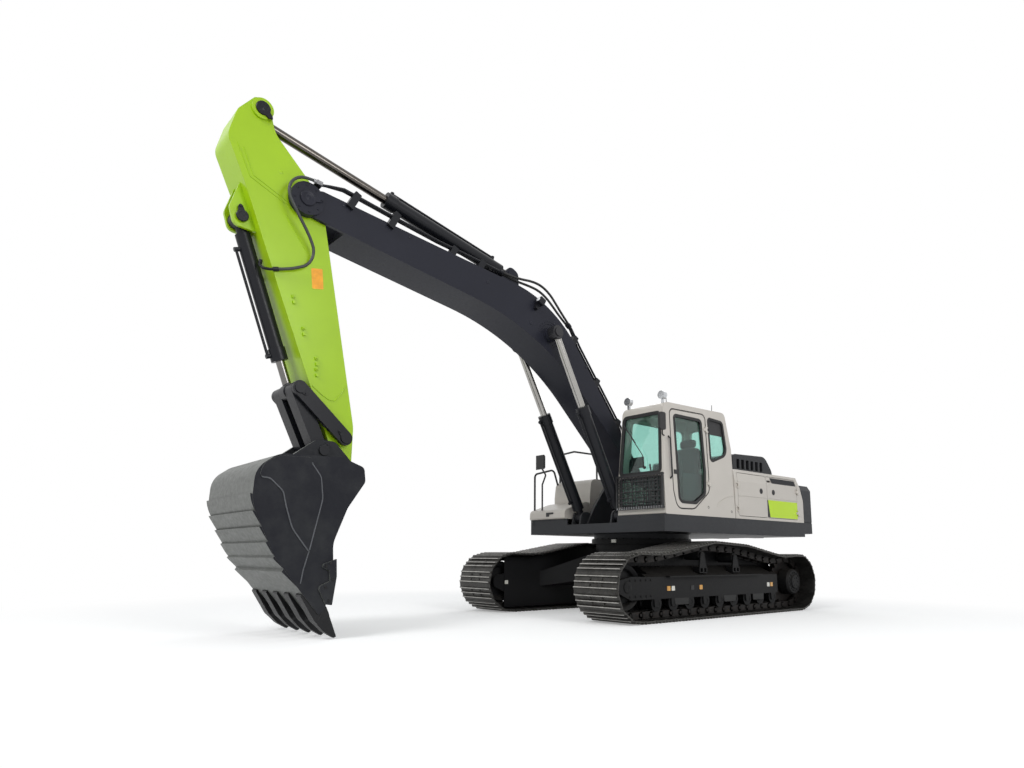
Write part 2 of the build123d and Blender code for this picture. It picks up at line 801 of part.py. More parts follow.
def make_engine_hood():
    """The raised engine hood, hollow, rounded at the rear, with its slots."""
    base = body_top + 6
    hood = slab(
        [(hood_front_x, base, 0), (hood_front_x - 40, hood_top - 40, 90),
         (hood_rear_x + 250, hood_top, 240),
         (hood_rear_x, 2440, 160), (hood_rear_x + 40, base, 0)],
        -hood_half, hood_half,
    )
    wall = 40.0
    hood -= slab(
        [(hood_front_x - wall, base - 10, 0), (hood_front_x - wall - 36, hood_top - 40 - wall, 60),
         (hood_rear_x + 262, hood_top - wall, 210), (hood_rear_x + wall, 2440, 130),
         (hood_rear_x + wall + 40, base - 10, 0)],
        -hood_half + wall, hood_half - wall,
    )
    for side in (-1, 1):
        low, high = sorted((side * (hood_half - wall - 10), side * (hood_half + 10)))
        for index in range(6):
            x = hood_front_x - 150 - index * 150
            hood -= slab([(x, 2430, 15), (x - 90, 2430, 15), (x - 90, 2600, 15), (x, 2600, 15)], low,
                         high)
    return hood


def add_hood():
    """The hood on its two front hinges."""
    hood = make_engine_hood()
    cover = make_top_cover()
    for y in (-500.0, 500.0):
        pin, leaf = hinge((hood_front_x + 24, y, hood_hinge_z), (-1, 0, 0), (0, 1, 0),
                          stand_off=hood_hinge_z - body_top, reach=60)
        cover += pin
        hood += leaf - block(hood_front_x - 400, hood_front_x + 200, y - 100, y + 100, body_top - 50,
                             body_top + 6)
    nodes["top_cover"] = trimmed(cover, nodes["main_frame"])
    nodes["engine_hood"] = hood


def make_tanks():
    """The tank and tool box on the right, in front of the engine bay."""
    front = right_door_front_x + 72
    tank = slab(
        [(front, skirt_top + seat, 20), (front, 2200, 40), (600, 2200, 120), (640, 1900, 200),
         (640, skirt_top + seat, 20)],
        -house_half, -clevis_y_outer - 40,
    )
    box = slab(
        [(646, skirt_top + seat, 10), (646, 1790, 30), (760, 1790, 60), (deck_front_x + 30, 1640, 80),
         (deck_front_x + 40, skirt_top + seat, 30)],
        -house_half + 10, -clevis_y_outer - 40,
    )
    return tank, box


clevis_y_outer = boom_cylinder_y + clevis_outer


def cab_outline(inset):
    """The cab's side outline, moved in by an inset."""
    full = rounded_face(
        [(cab_front_x, cab_floor + seat, 20), (cab_front_x + 8, 2100, 400),
         (cab_front_x - 50, cab_roof - 10, 130),
         (cab_rear_x + 130, cab_roof + 20, 90), (cab_rear_x, 2600, 90),
         (cab_rear_x, cab_floor + seat, 20)]
    )
    return offset(full, amount=-inset, kind=Kind.INTERSECTION) if inset else full


def cab_body(inset):
    """The cab as a solid whose faces all lie in by an inset."""
    placed = Pos(0, house_half, 0) * (machine.location * cab_outline(inset))
    body = extrude(placed, amount=house_half - cab_right_y + 100, dir=(0, -1, 0))
    above = 1.1
    front = Face(Wire.make_polygon([
        Vector(0, cab_right_y + inset, cab_floor),
        Vector(0, house_half - inset, cab_floor),
        Vector(0, house_half - inset - above * left_lean, cab_floor + above * (cab_roof - cab_floor)),
        Vector(0, cab_right_y + inset + above * right_lean, cab_floor + above * (cab_roof - cab_floor)),
    ]))
    wedge = extrude(Pos(cab_rear_x - 200, 0, 0) * front, amount=cab_front_x - cab_rear_x + 400,
                    dir=(1, 0, 0))
    return body & wedge


cab_door_corners = [(950, 3060, 80), (80, 3080, 80), (80, 1880, 140), (480, 1600, 160),
                    (880, 1590, 130), (950, 1850, 200)]
door_glass_corners = [(860, 2985, 60), (185, 2985, 60), (150, 2180, 30), (185, 1830, 90),
                      (430, 1680, 90), (830, 1680, 90)]
side_windows = {
    "rear_left": [(0, 3050, 60), (-400, 3030, 70), (-470, 2500, 160), (-10, 2340, 60)],
}
windscreen_corners = [(600, 2100, 60), (1380, 2100, 60), (1350, 3000, 60), (655, 3000, 60)]
lower_screen_corners = [(600, 1610, 40), (1390, 1610, 40), (1385, 2040, 40), (600, 2040, 40)]
rear_window_corners = [(700, 2330, 60), (1330, 2330, 60), (1310, 2960, 60), (710, 2960, 60)]
right_window_corners = [(980, 1980, 80), (-380, 1980, 80), (-380, 2960, 80), (930, 2960, 80)]


def front_prism(corners, x_low, x_high):
    """A prism along X from (y, z, radius) corners."""
    frame = Plane(origin=(x_low, 0, 0), x_dir=(0, 1, 0), z_dir=(1, 0, 0))
    return extrude(frame.location * rounded_face(corners), amount=x_high - x_low, dir=(1, 0, 0))


def grown(corners, amount):
    """An outline of corners moved outwards by an amount, as a face."""
    return offset(rounded_face(corners), amount=amount, kind=Kind.ARC)


door_axis_x = cab_door_corners[1][0] - panel_gap / 2
lean_ratio = left_lean / (cab_roof - cab_floor)


def left_wall_y(height):
    """The Y of the cab's left face at a height."""
    return house_half - lean_ratio * (height - cab_floor)


def add_cab():
    """The cab's shell, glazing, door and door glass."""
    outer = cab_body(0)
    inner = cab_body(cab_wall)
    shell = outer - inner
    pane = cab_body(glass_depth) - cab_body(glass_depth + glass_thickness)
    left = (house_half - left_lean - cab_wall - 60, house_half + 20)
    right = (cab_right_y - 20, cab_right_y + right_lean + cab_wall + 40)
    door_prism = slab(cab_door_corners, *left)
    door_glass = slab(door_glass_corners, *left)
    door = (shell & door_prism) - door_glass
    frame_cut = Pos(0, left[1], 0) * (machine.location * grown(cab_door_corners, panel_gap))
    shell -= extrude(frame_cut, amount=left[1] - left[0], dir=(0, -1, 0))
    windows = [
        slab(side_windows["rear_left"], *left),
        slab(right_window_corners, *right),
        front_prism(windscreen_corners, cab_front_x - 200, cab_front_x + 60),
        front_prism(lower_screen_corners, cab_front_x - 100, cab_front_x + 60),
        front_prism(rear_window_corners, cab_rear_x - 60, cab_rear_x + 200),
    ]
    glazing = []
    for window in windows:
        shell -= window
        glazing += (pane & window).solids()
    lean_side = Vector(0, -lean_ratio, 1).normalized()
    for height in (2000.0, 2850.0):
        origin = Vector(door_axis_x, left_wall_y(height) + hinge_stand_off, height)
        pin, leaf = hinge(origin, (1, 0, 0), lean_side)
        shell += pin
        door += leaf
    nodes["cab_shell"] = shell
    nodes["cab_glazing"] = glazing
    nodes["cab_door"] = door
    nodes["door_glass"] = (pane & door_glass).solids()


def make_seat():
    """The driver's seat with its back and pedestal."""
    middle = (cab_right_y + house_half) / 2 + 20
    seat_shape = slab(
        [(560, 1960, 60), (560, 2080, 60), (160, 2080, 60), (60, 2740, 60), (-70, 2740, 60),
         (-40, 1960, 60)],
        middle - 250, middle + 250,
    )
    seat_shape += block(40, 440, middle - 180, middle + 180, cab_floor + cab_wall + 2 * seat, 1961)
    return seat_shape


def make_consoles():
    """The side consoles with their levers, and the travel levers in front."""
    middle = (cab_right_y + house_half) / 2 + 20
    pieces = []
    for side in (-1, 1):
        low, high = sorted((middle + side * 258, middle + side * 335))
        console = block(120, 620, low, high, cab_floor + cab_wall + 2 * seat, 2140)
        lever_y = (low + high) / 2
        console += bar((560, lever_y, 2130), (600, lever_y, 2330), 14)
        pieces.append(console)
        lever_y = middle + side * 60
        travel = block(800, 900, lever_y - 40, lever_y + 40, cab_floor + cab_wall + 2 * seat, 1640)
        travel += bar((850, lever_y, 1630), (780, lever_y, 2150), 12)
        pieces.append(travel)
    return pieces


def make_guard():
    """The guard in front of the lower screen: a frame with a mesh of bars."""
    x_low = cab_front_x + 30
    x_high = x_low + 26
    y_low, y_high, z_low, z_high = cab_right_y + 10, house_half - 10, 1570.0, 2090.0
    guard = block(x_low, x_high, y_low, y_high, z_low, z_high)
    guard -= block(x_low - 5, x_high + 5, y_low + 30, y_high - 30, z_low + 30, z_high - 30)
    columns = 12
    rows = 6
    for index in range(1, columns):
        y = y_low + 30 + (y_high - y_low - 60) * index / columns
        guard += block(x_low + 6, x_low + 14, y - 5, y + 5, z_low + 20, z_high - 20)
    for index in range(1, rows):
        z = z_low + 30 + (z_high - z_low - 60) * index / rows
        guard += block(x_low + 12, x_low + 20, y_low + 20, y_high - 20, z - 5, z + 5)
    for y in (y_low + 15, y_high - 15):
        for z in (z_low + 15, z_high - 15):
            guard += bar((cab_front_x + 8 + seat, y, z), (x_low + 10, y, z), 11)
    return guard


def make_lamps():
    """Two round lamps on the front edge of the cab's roof."""
    lamps = []
    for y in (cab_right_y + right_lean + 50, house_half - left_lean - 60):
        stand = block(cab_front_x - 150, cab_front_x - 120, y - 20, y + 20, cab_roof - 40,
                      cab_roof + 60)
        lamp_axis = Plane(origin=(cab_front_x - 165, y, cab_roof + 100), z_dir=(1, 0, 0.05))
        lamps.append(stand + Solid.make_cylinder(62, 75, lamp_axis))
    return lamps


def make_mirrors():
    """The left mirror on the cab's post and the right mirror on its tall bracket."""
    left_y = house_half - 30
    left = slab([(cab_front_x + 20, 2700, 30), (cab_front_x + 150, 2700, 30),
                 (cab_front_x + 150, 2960, 30), (cab_front_x + 20, 2960, 30)], left_y + 40, left_y + 80)
    left += tube([(cab_front_x - 60, left_y - 20, 2640), (cab_front_x + 60, left_y + 40, 2640),
                  (cab_front_x + 80, left_y + 60, 2720)], 10, 20)
    x = deck_front_x + 20
    right = slab([(x - 20, 2360, 40), (x + 20, 2360, 0), (x + 20, 2610, 0), (x - 20, 2610, 40)], -1290,
                 -1090)
    right += tube([(x - 40, -1080, 1500), (x - 40, -1190, 1620), (x - 40, -1190, 2100),
                   (x - 40, -1100, 2260), (x - 5, -1180, 2400)], 14, 40)
    return [left, right]


def make_handrails():
    """The tubular rail on the right side, above the tool box and tank."""
    rails = [tube([(560, -1400, 2190), (560, -1400, 2700), (200, -1400, 2800), (-400, -1400, 2800),
                   (-400, -1400, 2190)], 17, 80)]
    rails.append(tube([(1150, -1420, 1600), (1150, -1420, 2300), (700, -1420, 2420),
                       (600, -1420, 2150)], 17, 80))
    return rails


boom_corners = [
    (0, -150, 120), (550, 180, 600), (0.446 * boom_length, 942, 4000), (boom_length - 240, -105, 150),
    (boom_length, -170, 100), (boom_length + 60, 60, 100), (boom_length - 90, 240, 100),
    (0.449 * boom_length, 1508, 1900), (20, 160, 110),
]


def boom_top(u):
    """The height of the boom's top line, without the rounding at its bend."""
    front, bend, rear = boom_corners[6], boom_corners[7], boom_corners[8]
    start, finish = (rear, bend) if u < bend[0] else (bend, front)
    share = (u - start[0]) / (finish[0] - start[0])
    return start[1] + share * (finish[1] - start[1])


def make_boom():
    """The boom: a bent box girder with a fork for the arm and bosses for its pins."""
    boom = slab(boom_corners, -boom_half, boom_half, boom_frame)
    boom += rod_across(0, 0, 168, -boom_half, boom_half, boom_frame)
    boom += rod_across(boom_length, 0, nose_boss_radius, -nose_boss_face, nose_boss_face, boom_frame)
    slot = slab(
        [(boom_length - fork_depth, -500, 0), (boom_length + 400, -500, 0), (boom_length + 400, 500, 0),
         (boom_length - fork_depth, 500, 0)],
        -boom_half + fork_plate, boom_half - fork_plate, boom_frame,
    )
    boom -= slot
    boom += rod_across(boom_length, 0, nose_pin_radius, -nose_boss_face, nose_boss_face, boom_frame)
    boom -= rod_across(0, 0, foot_pin_radius + running, -boom_half - 1, boom_half + 1, boom_frame)
    eye_inner = boom_cylinder_y - eye_width / 2 - side_play
    for side in (-1, 1):
        low, high = sorted((side * (boom_half - 10), side * eye_inner))
        boom += rod_across(boom_cylinder_eye_u, boom_cylinder_eye_w, 115, low, high, boom_frame)
        low, high = sorted((side * clevis_inner, side * clevis_outer))
        u, w = arm_cylinder_base_u, arm_cylinder_base_w
        boom += slab([(u - 330, w - 330, 0), (u + 150, w - 330, 0), (u + 90, w + 95, 90),
                      (u - 90, w + 95, 90)], low, high, boom_frame)
    boom += rod_across(arm_cylinder_base_u, arm_cylinder_base_w, 50, -clevis_outer, clevis_outer,
                       boom_frame)
    boom += pin_keeper(boom_length, 0, nose_boss_face, 92, 188, 145, boom_frame)
    boom += pin_keeper(arm_cylinder_base_u, arm_cylinder_base_w, clevis_outer, 68, 150, -100,
                       boom_frame)
    return boom


# Hose routes on the left side: u, w along the boom or arm, y
bend_hose_routes = (
    ((3900, 1266, 264), (3740, 1330, 264), (3580, 1415, 266), (3420, 1520, 268), (3240, 1592, 268),
     (3040, 1590, 266), (2860, 1530, 264), (2690, 1470, 264), (2520, 1420, 264)),
    ((3900, 1266, 216), (3735, 1318, 216), (3570, 1385, 214), (3400, 1465, 212), (3225, 1530, 212),
     (3045, 1535, 214), (2870, 1495, 216), (2700, 1450, 216), (2520, 1420, 216)),
)
arm_hose_route = (
    (-195, -160, arm_hose_y), (-219, -51, 370), (-229, 64, 375), (-180, 168, 380), (-93, 231, 385),
    (9, 246, 385), (108, 213, 385), (230, 165, 380), (365, 93, 360), (502, 29, 335), (610, 0, 318),
    (717, 29, 303), (796, 107, 295), (828, 212, 290), (850, 320, 275), (855, 430, 258),
)


def in_space(route, frame):
    """The points of a route of (u, w, y) rows beside a side frame."""
    points = []
    for u, w, y in route:
        point = frame.from_local_coords(Vector(u, w, 0))
        points.append(Vector(point.X, y, point.Z))
    return points


def hose(name, route, frame):
    """A free hose on the left and its twin on the right, with the widest arcs that its runs allow."""
    points = in_space(route, frame)
    radii = []
    for before, here, after in zip(points, points[1:], points[2:]):
        turn = math.radians((here - before).get_angle(after - here))
        run = min((here - before).length, (after - here).length)
        radii.append(0.45 * run / math.tan(turn / 2))
    path = FilletPolyline(*points, radius=radii)
    section = Plane(origin=path @ 0, z_dir=path % 0) * Circle(hose_radius)
    solid = sweep(section, path=path)
    print(name, "length", round(path.length), "radii", [round(radius) for radius in radii])
    return both_sides(solid)


def fitting(start, towards, length, radius):
    """A round end fitting from a point towards another."""
    axis = (towards - start).normalized()
    return Solid.make_cylinder(radius, length, Plane(origin=start, z_dir=axis))


def make_boom_pipes():
    """The left-hand pipes along the boom's top plate, in clamps, with fittings at the hoses' ends.

    Near the nose they spread outward, clear of the arm that turns between them.
    """
    spread = arm_half + side_play + pipe_radius + 5 - min(pipe_lanes)
    lines = None
    for lane, route in zip(reversed(pipe_lanes), bend_hose_routes):
        start, after_start, *_, before_end, end = in_space(route, boom_frame)
        forward = (start - after_start).normalized()
        rearward = (end - before_end).normalized()
        if lane == max(pipe_lanes):
            port = [(6545, 262, nose_port_y - 32), (6440, 350, lane + spread)]
        else:
            port = [(6590, 262, lane + spread), (6480, 345, lane + spread)]
        row = [*port, (6290, boom_top(6290) + 1.5 * pipe_stand, lane + spread),
               (5500, boom_top(5500) + pipe_stand, lane + spread),
               (4950, boom_top(4950) + pipe_stand, lane), (4150, boom_top(4150) + pipe_stand, lane)]
        pipe = tube([*in_space(row, boom_frame), start + forward * 90, start + forward * seat],
                    pipe_radius, 60)
        foot = [(2150, boom_top(2150) + pipe_stand, lane), (760, boom_top(760) + pipe_stand, lane),
                (600, boom_top(600) - 40, lane)]
        pipe += tube([end + rearward * seat, end + rearward * 90, *in_space(foot, boom_frame)],
                     pipe_radius, 60)
        pipe += fitting(start + forward * seat, start + forward, 60, fitting_radius)
        pipe += fitting(end + rearward * seat, end + rearward, 60, fitting_radius)
        lines = pipe if lines is None else lines + pipe
    lines += slab([(6520, 226, 0), (6600, 226, 0), (6600, 288, 12), (6520, 288, 12)],
                  arm_half + side_play, nose_port_y, boom_frame)
    for u in (6130.0, 5600.0, 4700.0, 4250.0, 2300.0, 1600.0, 900.0):
        top = boom_top(u)
        near_nose = u > 5400
        shift = spread if near_nose else 0
        reach = pipe_stand + (80 if near_nose else 30)
        y_low = arm_half + side_play if near_nose else min(pipe_lanes) - 24
        lines += slab([(u - 45, top - 60, 0), (u + 45, top - 60, 0), (u + 45, top + reach, 12),
                       (u - 45, top + reach, 12)],
                      y_low, max(pipe_lanes) + 24 + shift, boom_frame)
    return lines


def make_boom_lamp():
    """The working lamp on its bracket on the boom's left side."""
    u, w = 3190.0, 1255.0
    lamp = slab([(u - 55, w - 30, 15), (u + 55, w - 30, 15), (u + 55, w + 75, 15), (u - 55, w + 75, 15)],
                boom_half + 40, boom_half + 120, boom_frame)
    lamp += slab([(u - 30, w - 110, 10), (u + 30, w - 110, 10), (u + 20, w - 10, 0), (u - 20, w - 10, 0)],
                 boom_half + seat, boom_half + 60, boom_frame)
    return lamp


arm_corners = [
    (-1130, 280, 110), (-1150, 430, 60), (-960, 650, 160), (-640, 800, 200), (-128, 676, 400),
    (0.4 * arm_length, 400, 3000), (arm_length - 246, 60, 300), (arm_length - 6, 60, 100),
    (arm_length - 76, -150, 100), (arm_length - 536, -245, 400),
    (120, -225, 300), (-250, -95, 250), (-760, 250, 300),
]


def make_arm():
    """The arm: a box girder with a fork for its cylinder, ears for the bucket cylinder and a tip boss."""
    arm = slab(arm_corners, -arm_half, arm_half, arm_frame)
    slot_floor = -640.0
    arm -= slab(
        [(-1400, 0, 0), (slot_floor, 0, 0), (slot_floor, 570, 60), (-880, 600, 60), (-1000, 760, 0),
         (-1400, 760, 0)],
        -clevis_inner, clevis_inner, arm_frame,
    )
    arm += rod_across(0, 0, 190, -arm_half, arm_half, arm_frame)
    arm -= rod_across(0, 0, nose_pin_radius + running, -arm_half - 1, arm_half + 1, arm_frame)
    arm += rod_across(arm_length, 0, arm_tip_radius, -ear_inner + side_play, ear_inner - side_play,
                      arm_frame)
    arm -= rod_across(arm_length, 0, bucket_pin_radius + running, -400, 400, arm_frame)
    for side in (-1, 1):
        low, high = sorted((side * clevis_inner, side * (clevis_outer + 10)))
        u, w = bucket_cylinder_base_u, bucket_cylinder_base_w
        arm += slab([(u - 480, w - 70, 0), (u - 110, w + 120, 100), (u + 95, w + 100, 90),
                     (u + 165, w - 150, 0)], low, high, arm_frame)
        eye = rod_across(arm_cylinder_eye_u, arm_cylinder_eye_w, 125,
                         *sorted((side * (clevis_inner), side * (arm_half + 25))), arm_frame)
        arm += eye
    arm += rod_across(bucket_cylinder_base_u, bucket_cylinder_base_w, 48, -clevis_outer - 30,
                      clevis_outer + 30, arm_frame)
    arm += pin_keeper(arm_cylinder_eye_u, arm_cylinder_eye_w, arm_half + 25, 80, 150, -35, arm_frame)
    arm += pin_keeper(bucket_cylinder_base_u, bucket_cylinder_base_w, clevis_outer + 30, 66, 130, 175,
                      arm_frame)
    pivot = hinge_point(idler_pin)
    arm += rod_across(pivot[0], pivot[1], 95, -ear_inner + side_play, ear_inner - side_play)
    arm -= rod_across(pivot[0], pivot[1], bucket_pin_radius + running, -400, 400)
    return arm


def make_arm_pipes():
    """The short pipes from the hoses' ends over the arm's edge to beside the bucket cylinder."""
    before_end, end = in_space(arm_hose_route[-2:], arm_frame)
    onward = (end - before_end).normalized()
    turn_in = in_space([(845, 590, 225), (790, 600, 165), (735, 575, 150)], arm_frame)
    pipe = tube([end + onward * seat, end + onward * 90, *turn_in], pipe_radius, 24)
    pipe += fitting(end + onward * seat, end + onward, 60, fitting_radius)
    pipe += fitting(turn_in[2], turn_in[1], 40, fitting_radius - 4)
    return both_sides(pipe)


def hinge_point(offset_from_hinge):
    """A point of the machine's side frame from its place relative to the bucket hinge."""
    return arm_tip.X + offset_from_hinge[0], arm_tip.Z + offset_from_hinge[1]


def make_idler_links():
    """The two links outside the arm, joined by their pin through the arm."""
    start = hinge_point(idler_pin)
    finish = hinge_point(joint_pin)
    links = rod_across(*start, bucket_pin_radius, -ear_inner - 10, ear_inner + 10)
    along = math.degrees(math.atan2(finish[1] - start[1], finish[0] - start[0]))
    links += pin_keeper(*start, ear_inner + link_plate, 62, 125, along)
    links += pin_keeper(*finish, ear_inner + link_plate, 62, 110, along + 180)
    for side in (-1, 1):
        low, high = sorted((side * ear_inner, side * (ear_inner + link_plate)))
        links += tangent_link(start, finish, 85, 85, low, high)
    return links


def make_bucket_link():
    """The forked link between the joint pin and the bucket's ears, with its pin at the bucket."""
    start = hinge_point(joint_pin)
    finish = hinge_point(bucket_link_pin)
    face = ear_inner - side_play
    link = rod_across(*finish, 80, -face, face)
    keeper_y = ear_inner + ear_plate + side_play
    link += rod_across(*finish, bucket_pin_radius, -keeper_y, keeper_y)
    link += pin_keeper(*finish, keeper_y + 2, 62, 100, 120)
    for side in (-1, 1):
        low, high = sorted((side * (eye_width / 2 + side_play), side * face))
        link += tangent_link(start, finish, 85, 75, low, high)
    return link


bucket_outer = [
    (-60, 40, 60), (200, 130, 150), (900, 110, 250), (1130, -60, 250), (1150, -400, 450),
    (900, -930, 600), (590, -1310, 200), (395, -1540, 0), (330, -1490, 0), (250, -1120, 250),
    (270, -800, 300), (120, -420, 200), (-80, -120, 80),
]
bucket_inner = [
    (150, 60, 60), (880, 78, 220), (1096, -74, 225), (1118, -400, 440), (874, -912, 590),
    (566, -1290, 190), (330, -1570, 0), (-400, -1400, 0), (-400, -300, 0),
]


# Lower edges of the wear bands on the curved back, and the first one's upper edge
wear_lines = [(1113, -331), (1081, -490), (1028, -641), (968, -793), (878, -930), (781, -1055), (628, -1234)]
wear_centre = (450, -500)
cutter_corners = [
    (232, -966, 0), (375, -1019, 12), (382, -1050, 12), (306, -1088, 0), (293, -1195, 0), (404, -1245, 12),
    (410, -1283, 12), (330, -1436, 20), (262, -1446, 10), (222, -1150, 0),
]


def make_wear_bands():
    """The plates across the bucket's back, each standing proud along its upper edge."""
    outline = rounded_face(bucket_outer)
    core = offset(outline, amount=-bucket_wall / 2, kind=Kind.INTERSECTION)
    reach = 2.2

    def across(face, half):
        placed = Pos(0, half, 0) * (bucket_frame.location * face)
        return extrude(placed, amount=2 * half, dir=(0, -1, 0))

    inside = across(core, bucket_half)
    bands = []
    for upper, lower in zip(wear_lines, wear_lines[1:]):
        lifted = Pos(*lower) * Rot(0, 0, -band_lift) * Pos(-lower[0], -lower[1]) * outline
        rays = [Vector(*wear_centre)]
        rays += [Vector(*wear_centre) + (Vector(*point) - Vector(*wear_centre)) * reach
                 for point in (upper, lower)]
        wedge = Face(Wire.make_polygon(rays))
        bands.append((across(lifted, bucket_half - 6) & across(wedge, bucket_half - 6)) - inside)
    return bands


def make_bucket():
    """The bucket: curved back, two side plates, lip with teeth, ears and torque tube."""
    bucket = slab(bucket_outer, -bucket_half, bucket_half, bucket_frame)
    bucket -= slab(bucket_inner, -bucket_half + bucket_wall, bucket_half - bucket_wall, bucket_frame)
    bucket -= slab(
        [(-500, -700, 0), (140, -300, 0), (200, -40, 100), (120, 200, 0),
         (-500, 300, 0)], -ear_inner - ear_plate - 30, ear_inner + ear_plate + 30, bucket_frame
    )
    for side in (-1, 1):
        low, high = sorted((side * ear_inner, side * (ear_inner + ear_plate)))
        ear = slab(
            [(-100, -120, 90), (-120, 120, 110), (120, 360, 90), (330, 370, 110), (700, 95, 60),
             (760, -120, 60), (300, -190, 200)],
            low, high, bucket_frame,
        )
        bucket += ear
    bucket -= rod_across(*bucket_link_pin, bucket_pin_radius + running, -500, 500, bucket_frame)
    bucket += rod_across(0, 0, bucket_pin_radius, -ear_inner - ear_plate, ear_inner + ear_plate,
                         bucket_frame)
    bucket += pin_keeper(0, 0, ear_inner + ear_plate, 62, 105, -60, bucket_frame)
    for band in make_wear_bands():
        bucket += band
    for side in (-1, 1):
        low, high = sorted((side * (bucket_half - 4), side * (bucket_half + cutter_thickness)))
        bucket += slab(cutter_corners, low, high, bucket_frame)
    return bucket


def make_teeth():
    """The teeth on the lip, each an adapter with a tapering point."""
    teeth = []
    tip_x, tip_z = tooth_tip
    first = -bucket_half + tooth_width / 2 + 10
    spacing = -2 * first / (tooth_count - 1)
    for index in range(tooth_count):
        y = first + index * spacing
        tooth = slab(
            [(600, -1335, 20), (470, -1250, 20), (305, -1465, 80), (225, -1640, 120),
             (tip_x - 14, tip_z + 14, 0), (tip_x + 10, tip_z, 0), (310, -1722, 90), (430, -1605, 120)],
            y - tooth_width / 2, y + tooth_width / 2, bucket_frame,
        )
        root = bucket_frame.from_local_coords(Vector(530, -1290, 0))
        tip = bucket_frame.from_local_coords(Vector(tip_x, tip_z, 0))
        axis = (tip - root).normalized()
        plane = Plane(origin=(root.X, y, root.Z), x_dir=axis, z_dir=Vector(-axis.Z, 0, axis.X))
        length = (tip - root).length
        half, tip_half = tooth_width / 2, tooth_tip_width / 2
        plan = Face(Wire.make_polygon([
            Vector(-250, -half), Vector(0.56 * length, -half), Vector(0.62 * length, -half + 14),
            Vector(length + 20, -tip_half), Vector(length + 20, tip_half),
            Vector(0.62 * length, half - 14), Vector(0.56 * length, half), Vector(-250, half),
        ]))
        teeth.append(tooth & extrude(plane.location * plan, amount=600, both=True))
    return teeth


def cylinder_pair(base, eye, barrel_radius, rod_radius, barrel_length, base_pin, pipe_side, y=0.0):
    """A barrel with its base eye and feed pipe, and a rod with its rod eye, along a line of the side
    frame. The pipe lies above the barrel's line where pipe_side is 1 and below where it is -1.
    """
    length = math.hypot(eye[0] - base[0], eye[1] - base[1])
    angle = math.degrees(math.atan2(eye[1] - base[1], eye[0] - base[0]))
    frame = side_frame(base[0], base[1], angle)
    half = eye_width / 2
    collar = 12
    axis = Vector(math.cos(math.radians(angle)), 0, math.sin(math.radians(angle)))

    def along(distance, radius, reach):
        origin = Vector(base[0], 0, base[1]) + axis * distance
        return Solid.make_cylinder(radius, reach, Plane(origin=origin, z_dir=axis))

    barrel = along(barrel_start, barrel_radius, barrel_length - barrel_start)
    barrel += along(60, half - 6, barrel_start - 50)
    barrel += along(barrel_length - 150, barrel_radius + collar, 150)
    barrel += rod_across(0, 0, base_pin + 50, -half, half, frame)
    barrel -= along(160, rod_radius + running, barrel_length)
    barrel -= rod_across(0, 0, base_pin + running, -half - 5, half + 5, frame)
    beside = Vector(-axis.Z, 0, axis.X) * pipe_side
    pipe_start, pipe_end = 2 * barrel_start, barrel_length - 75
    offset_out = barrel_radius + collar + 10 + pipe_radius
    origin = Vector(base[0], 0, base[1]) + axis * pipe_start + beside * offset_out
    barrel += Solid.make_cylinder(pipe_radius, pipe_end - pipe_start, Plane(origin=origin, z_dir=axis))
    for distance in (pipe_start, pipe_end):
        origin = Vector(base[0], 0, base[1]) + axis * distance + beside * (barrel_radius - 15)
        port = Plane(origin=origin, z_dir=beside)
        barrel += Solid.make_cylinder(fitting_radius, offset_out + pipe_radius + 5 - barrel_radius + 15, port)
    inside = 330.0
    rod_start = barrel_length - inside
    rod = along(rod_start, rod_radius, length - rod_start)
    rod += rod_across(length, 0, rod_radius + 45, -half, half, frame)
    if y:
        rod += rod_across(length, 0, rod_radius + 12, half - 1, half + 18, frame)
    return Pos(0, y, 0) * barrel, Pos(0, y, 0) * rod


def side_point(frame, u, w):
    """The X and Z of a point of a side frame."""
    point = frame.from_local_coords(Vector(u, w, 0))
    return point.X, point.Z


def add_cylinders():
    """The two boom cylinders, the arm cylinder and the bucket cylinder."""
    eye = side_point(boom_frame, boom_cylinder_eye_u, boom_cylinder_eye_w)
    barrel, rod = cylinder_pair(
        boom_cylinder_base, eye, boom_barrel_radius, boom_rod_radius, boom_barrel_length, 50, -1,
        boom_cylinder_y,
    )
    nodes["boom_cylinder_barrels"] = both_sides(barrel)
    nodes["boom_cylinder_rods"] = both_sides(rod)
    base = side_point(boom_frame, arm_cylinder_base_u, arm_cylinder_base_w)
    eye = side_point(arm_frame, arm_cylinder_eye_u, arm_cylinder_eye_w)
    barrel, rod = cylinder_pair(base, eye, arm_barrel_radius, arm_rod_radius, arm_barrel_length, 50, 1)
    nodes["arm_cylinder_barrel"] = barrel
    nodes["arm_cylinder_rod"] = rod
    base = side_point(arm_frame, bucket_cylinder_base_u, bucket_cylinder_base_w)
    eye = hinge_point(joint_pin)
    barrel, rod = cylinder_pair(base, eye, bucket_barrel_radius, bucket_rod_radius,
                                bucket_barrel_length, 48, 1)
    nodes["bucket_cylinder_barrel"] = barrel
    nodes["bucket_cylinder_rod"] = rod


nodes = {}


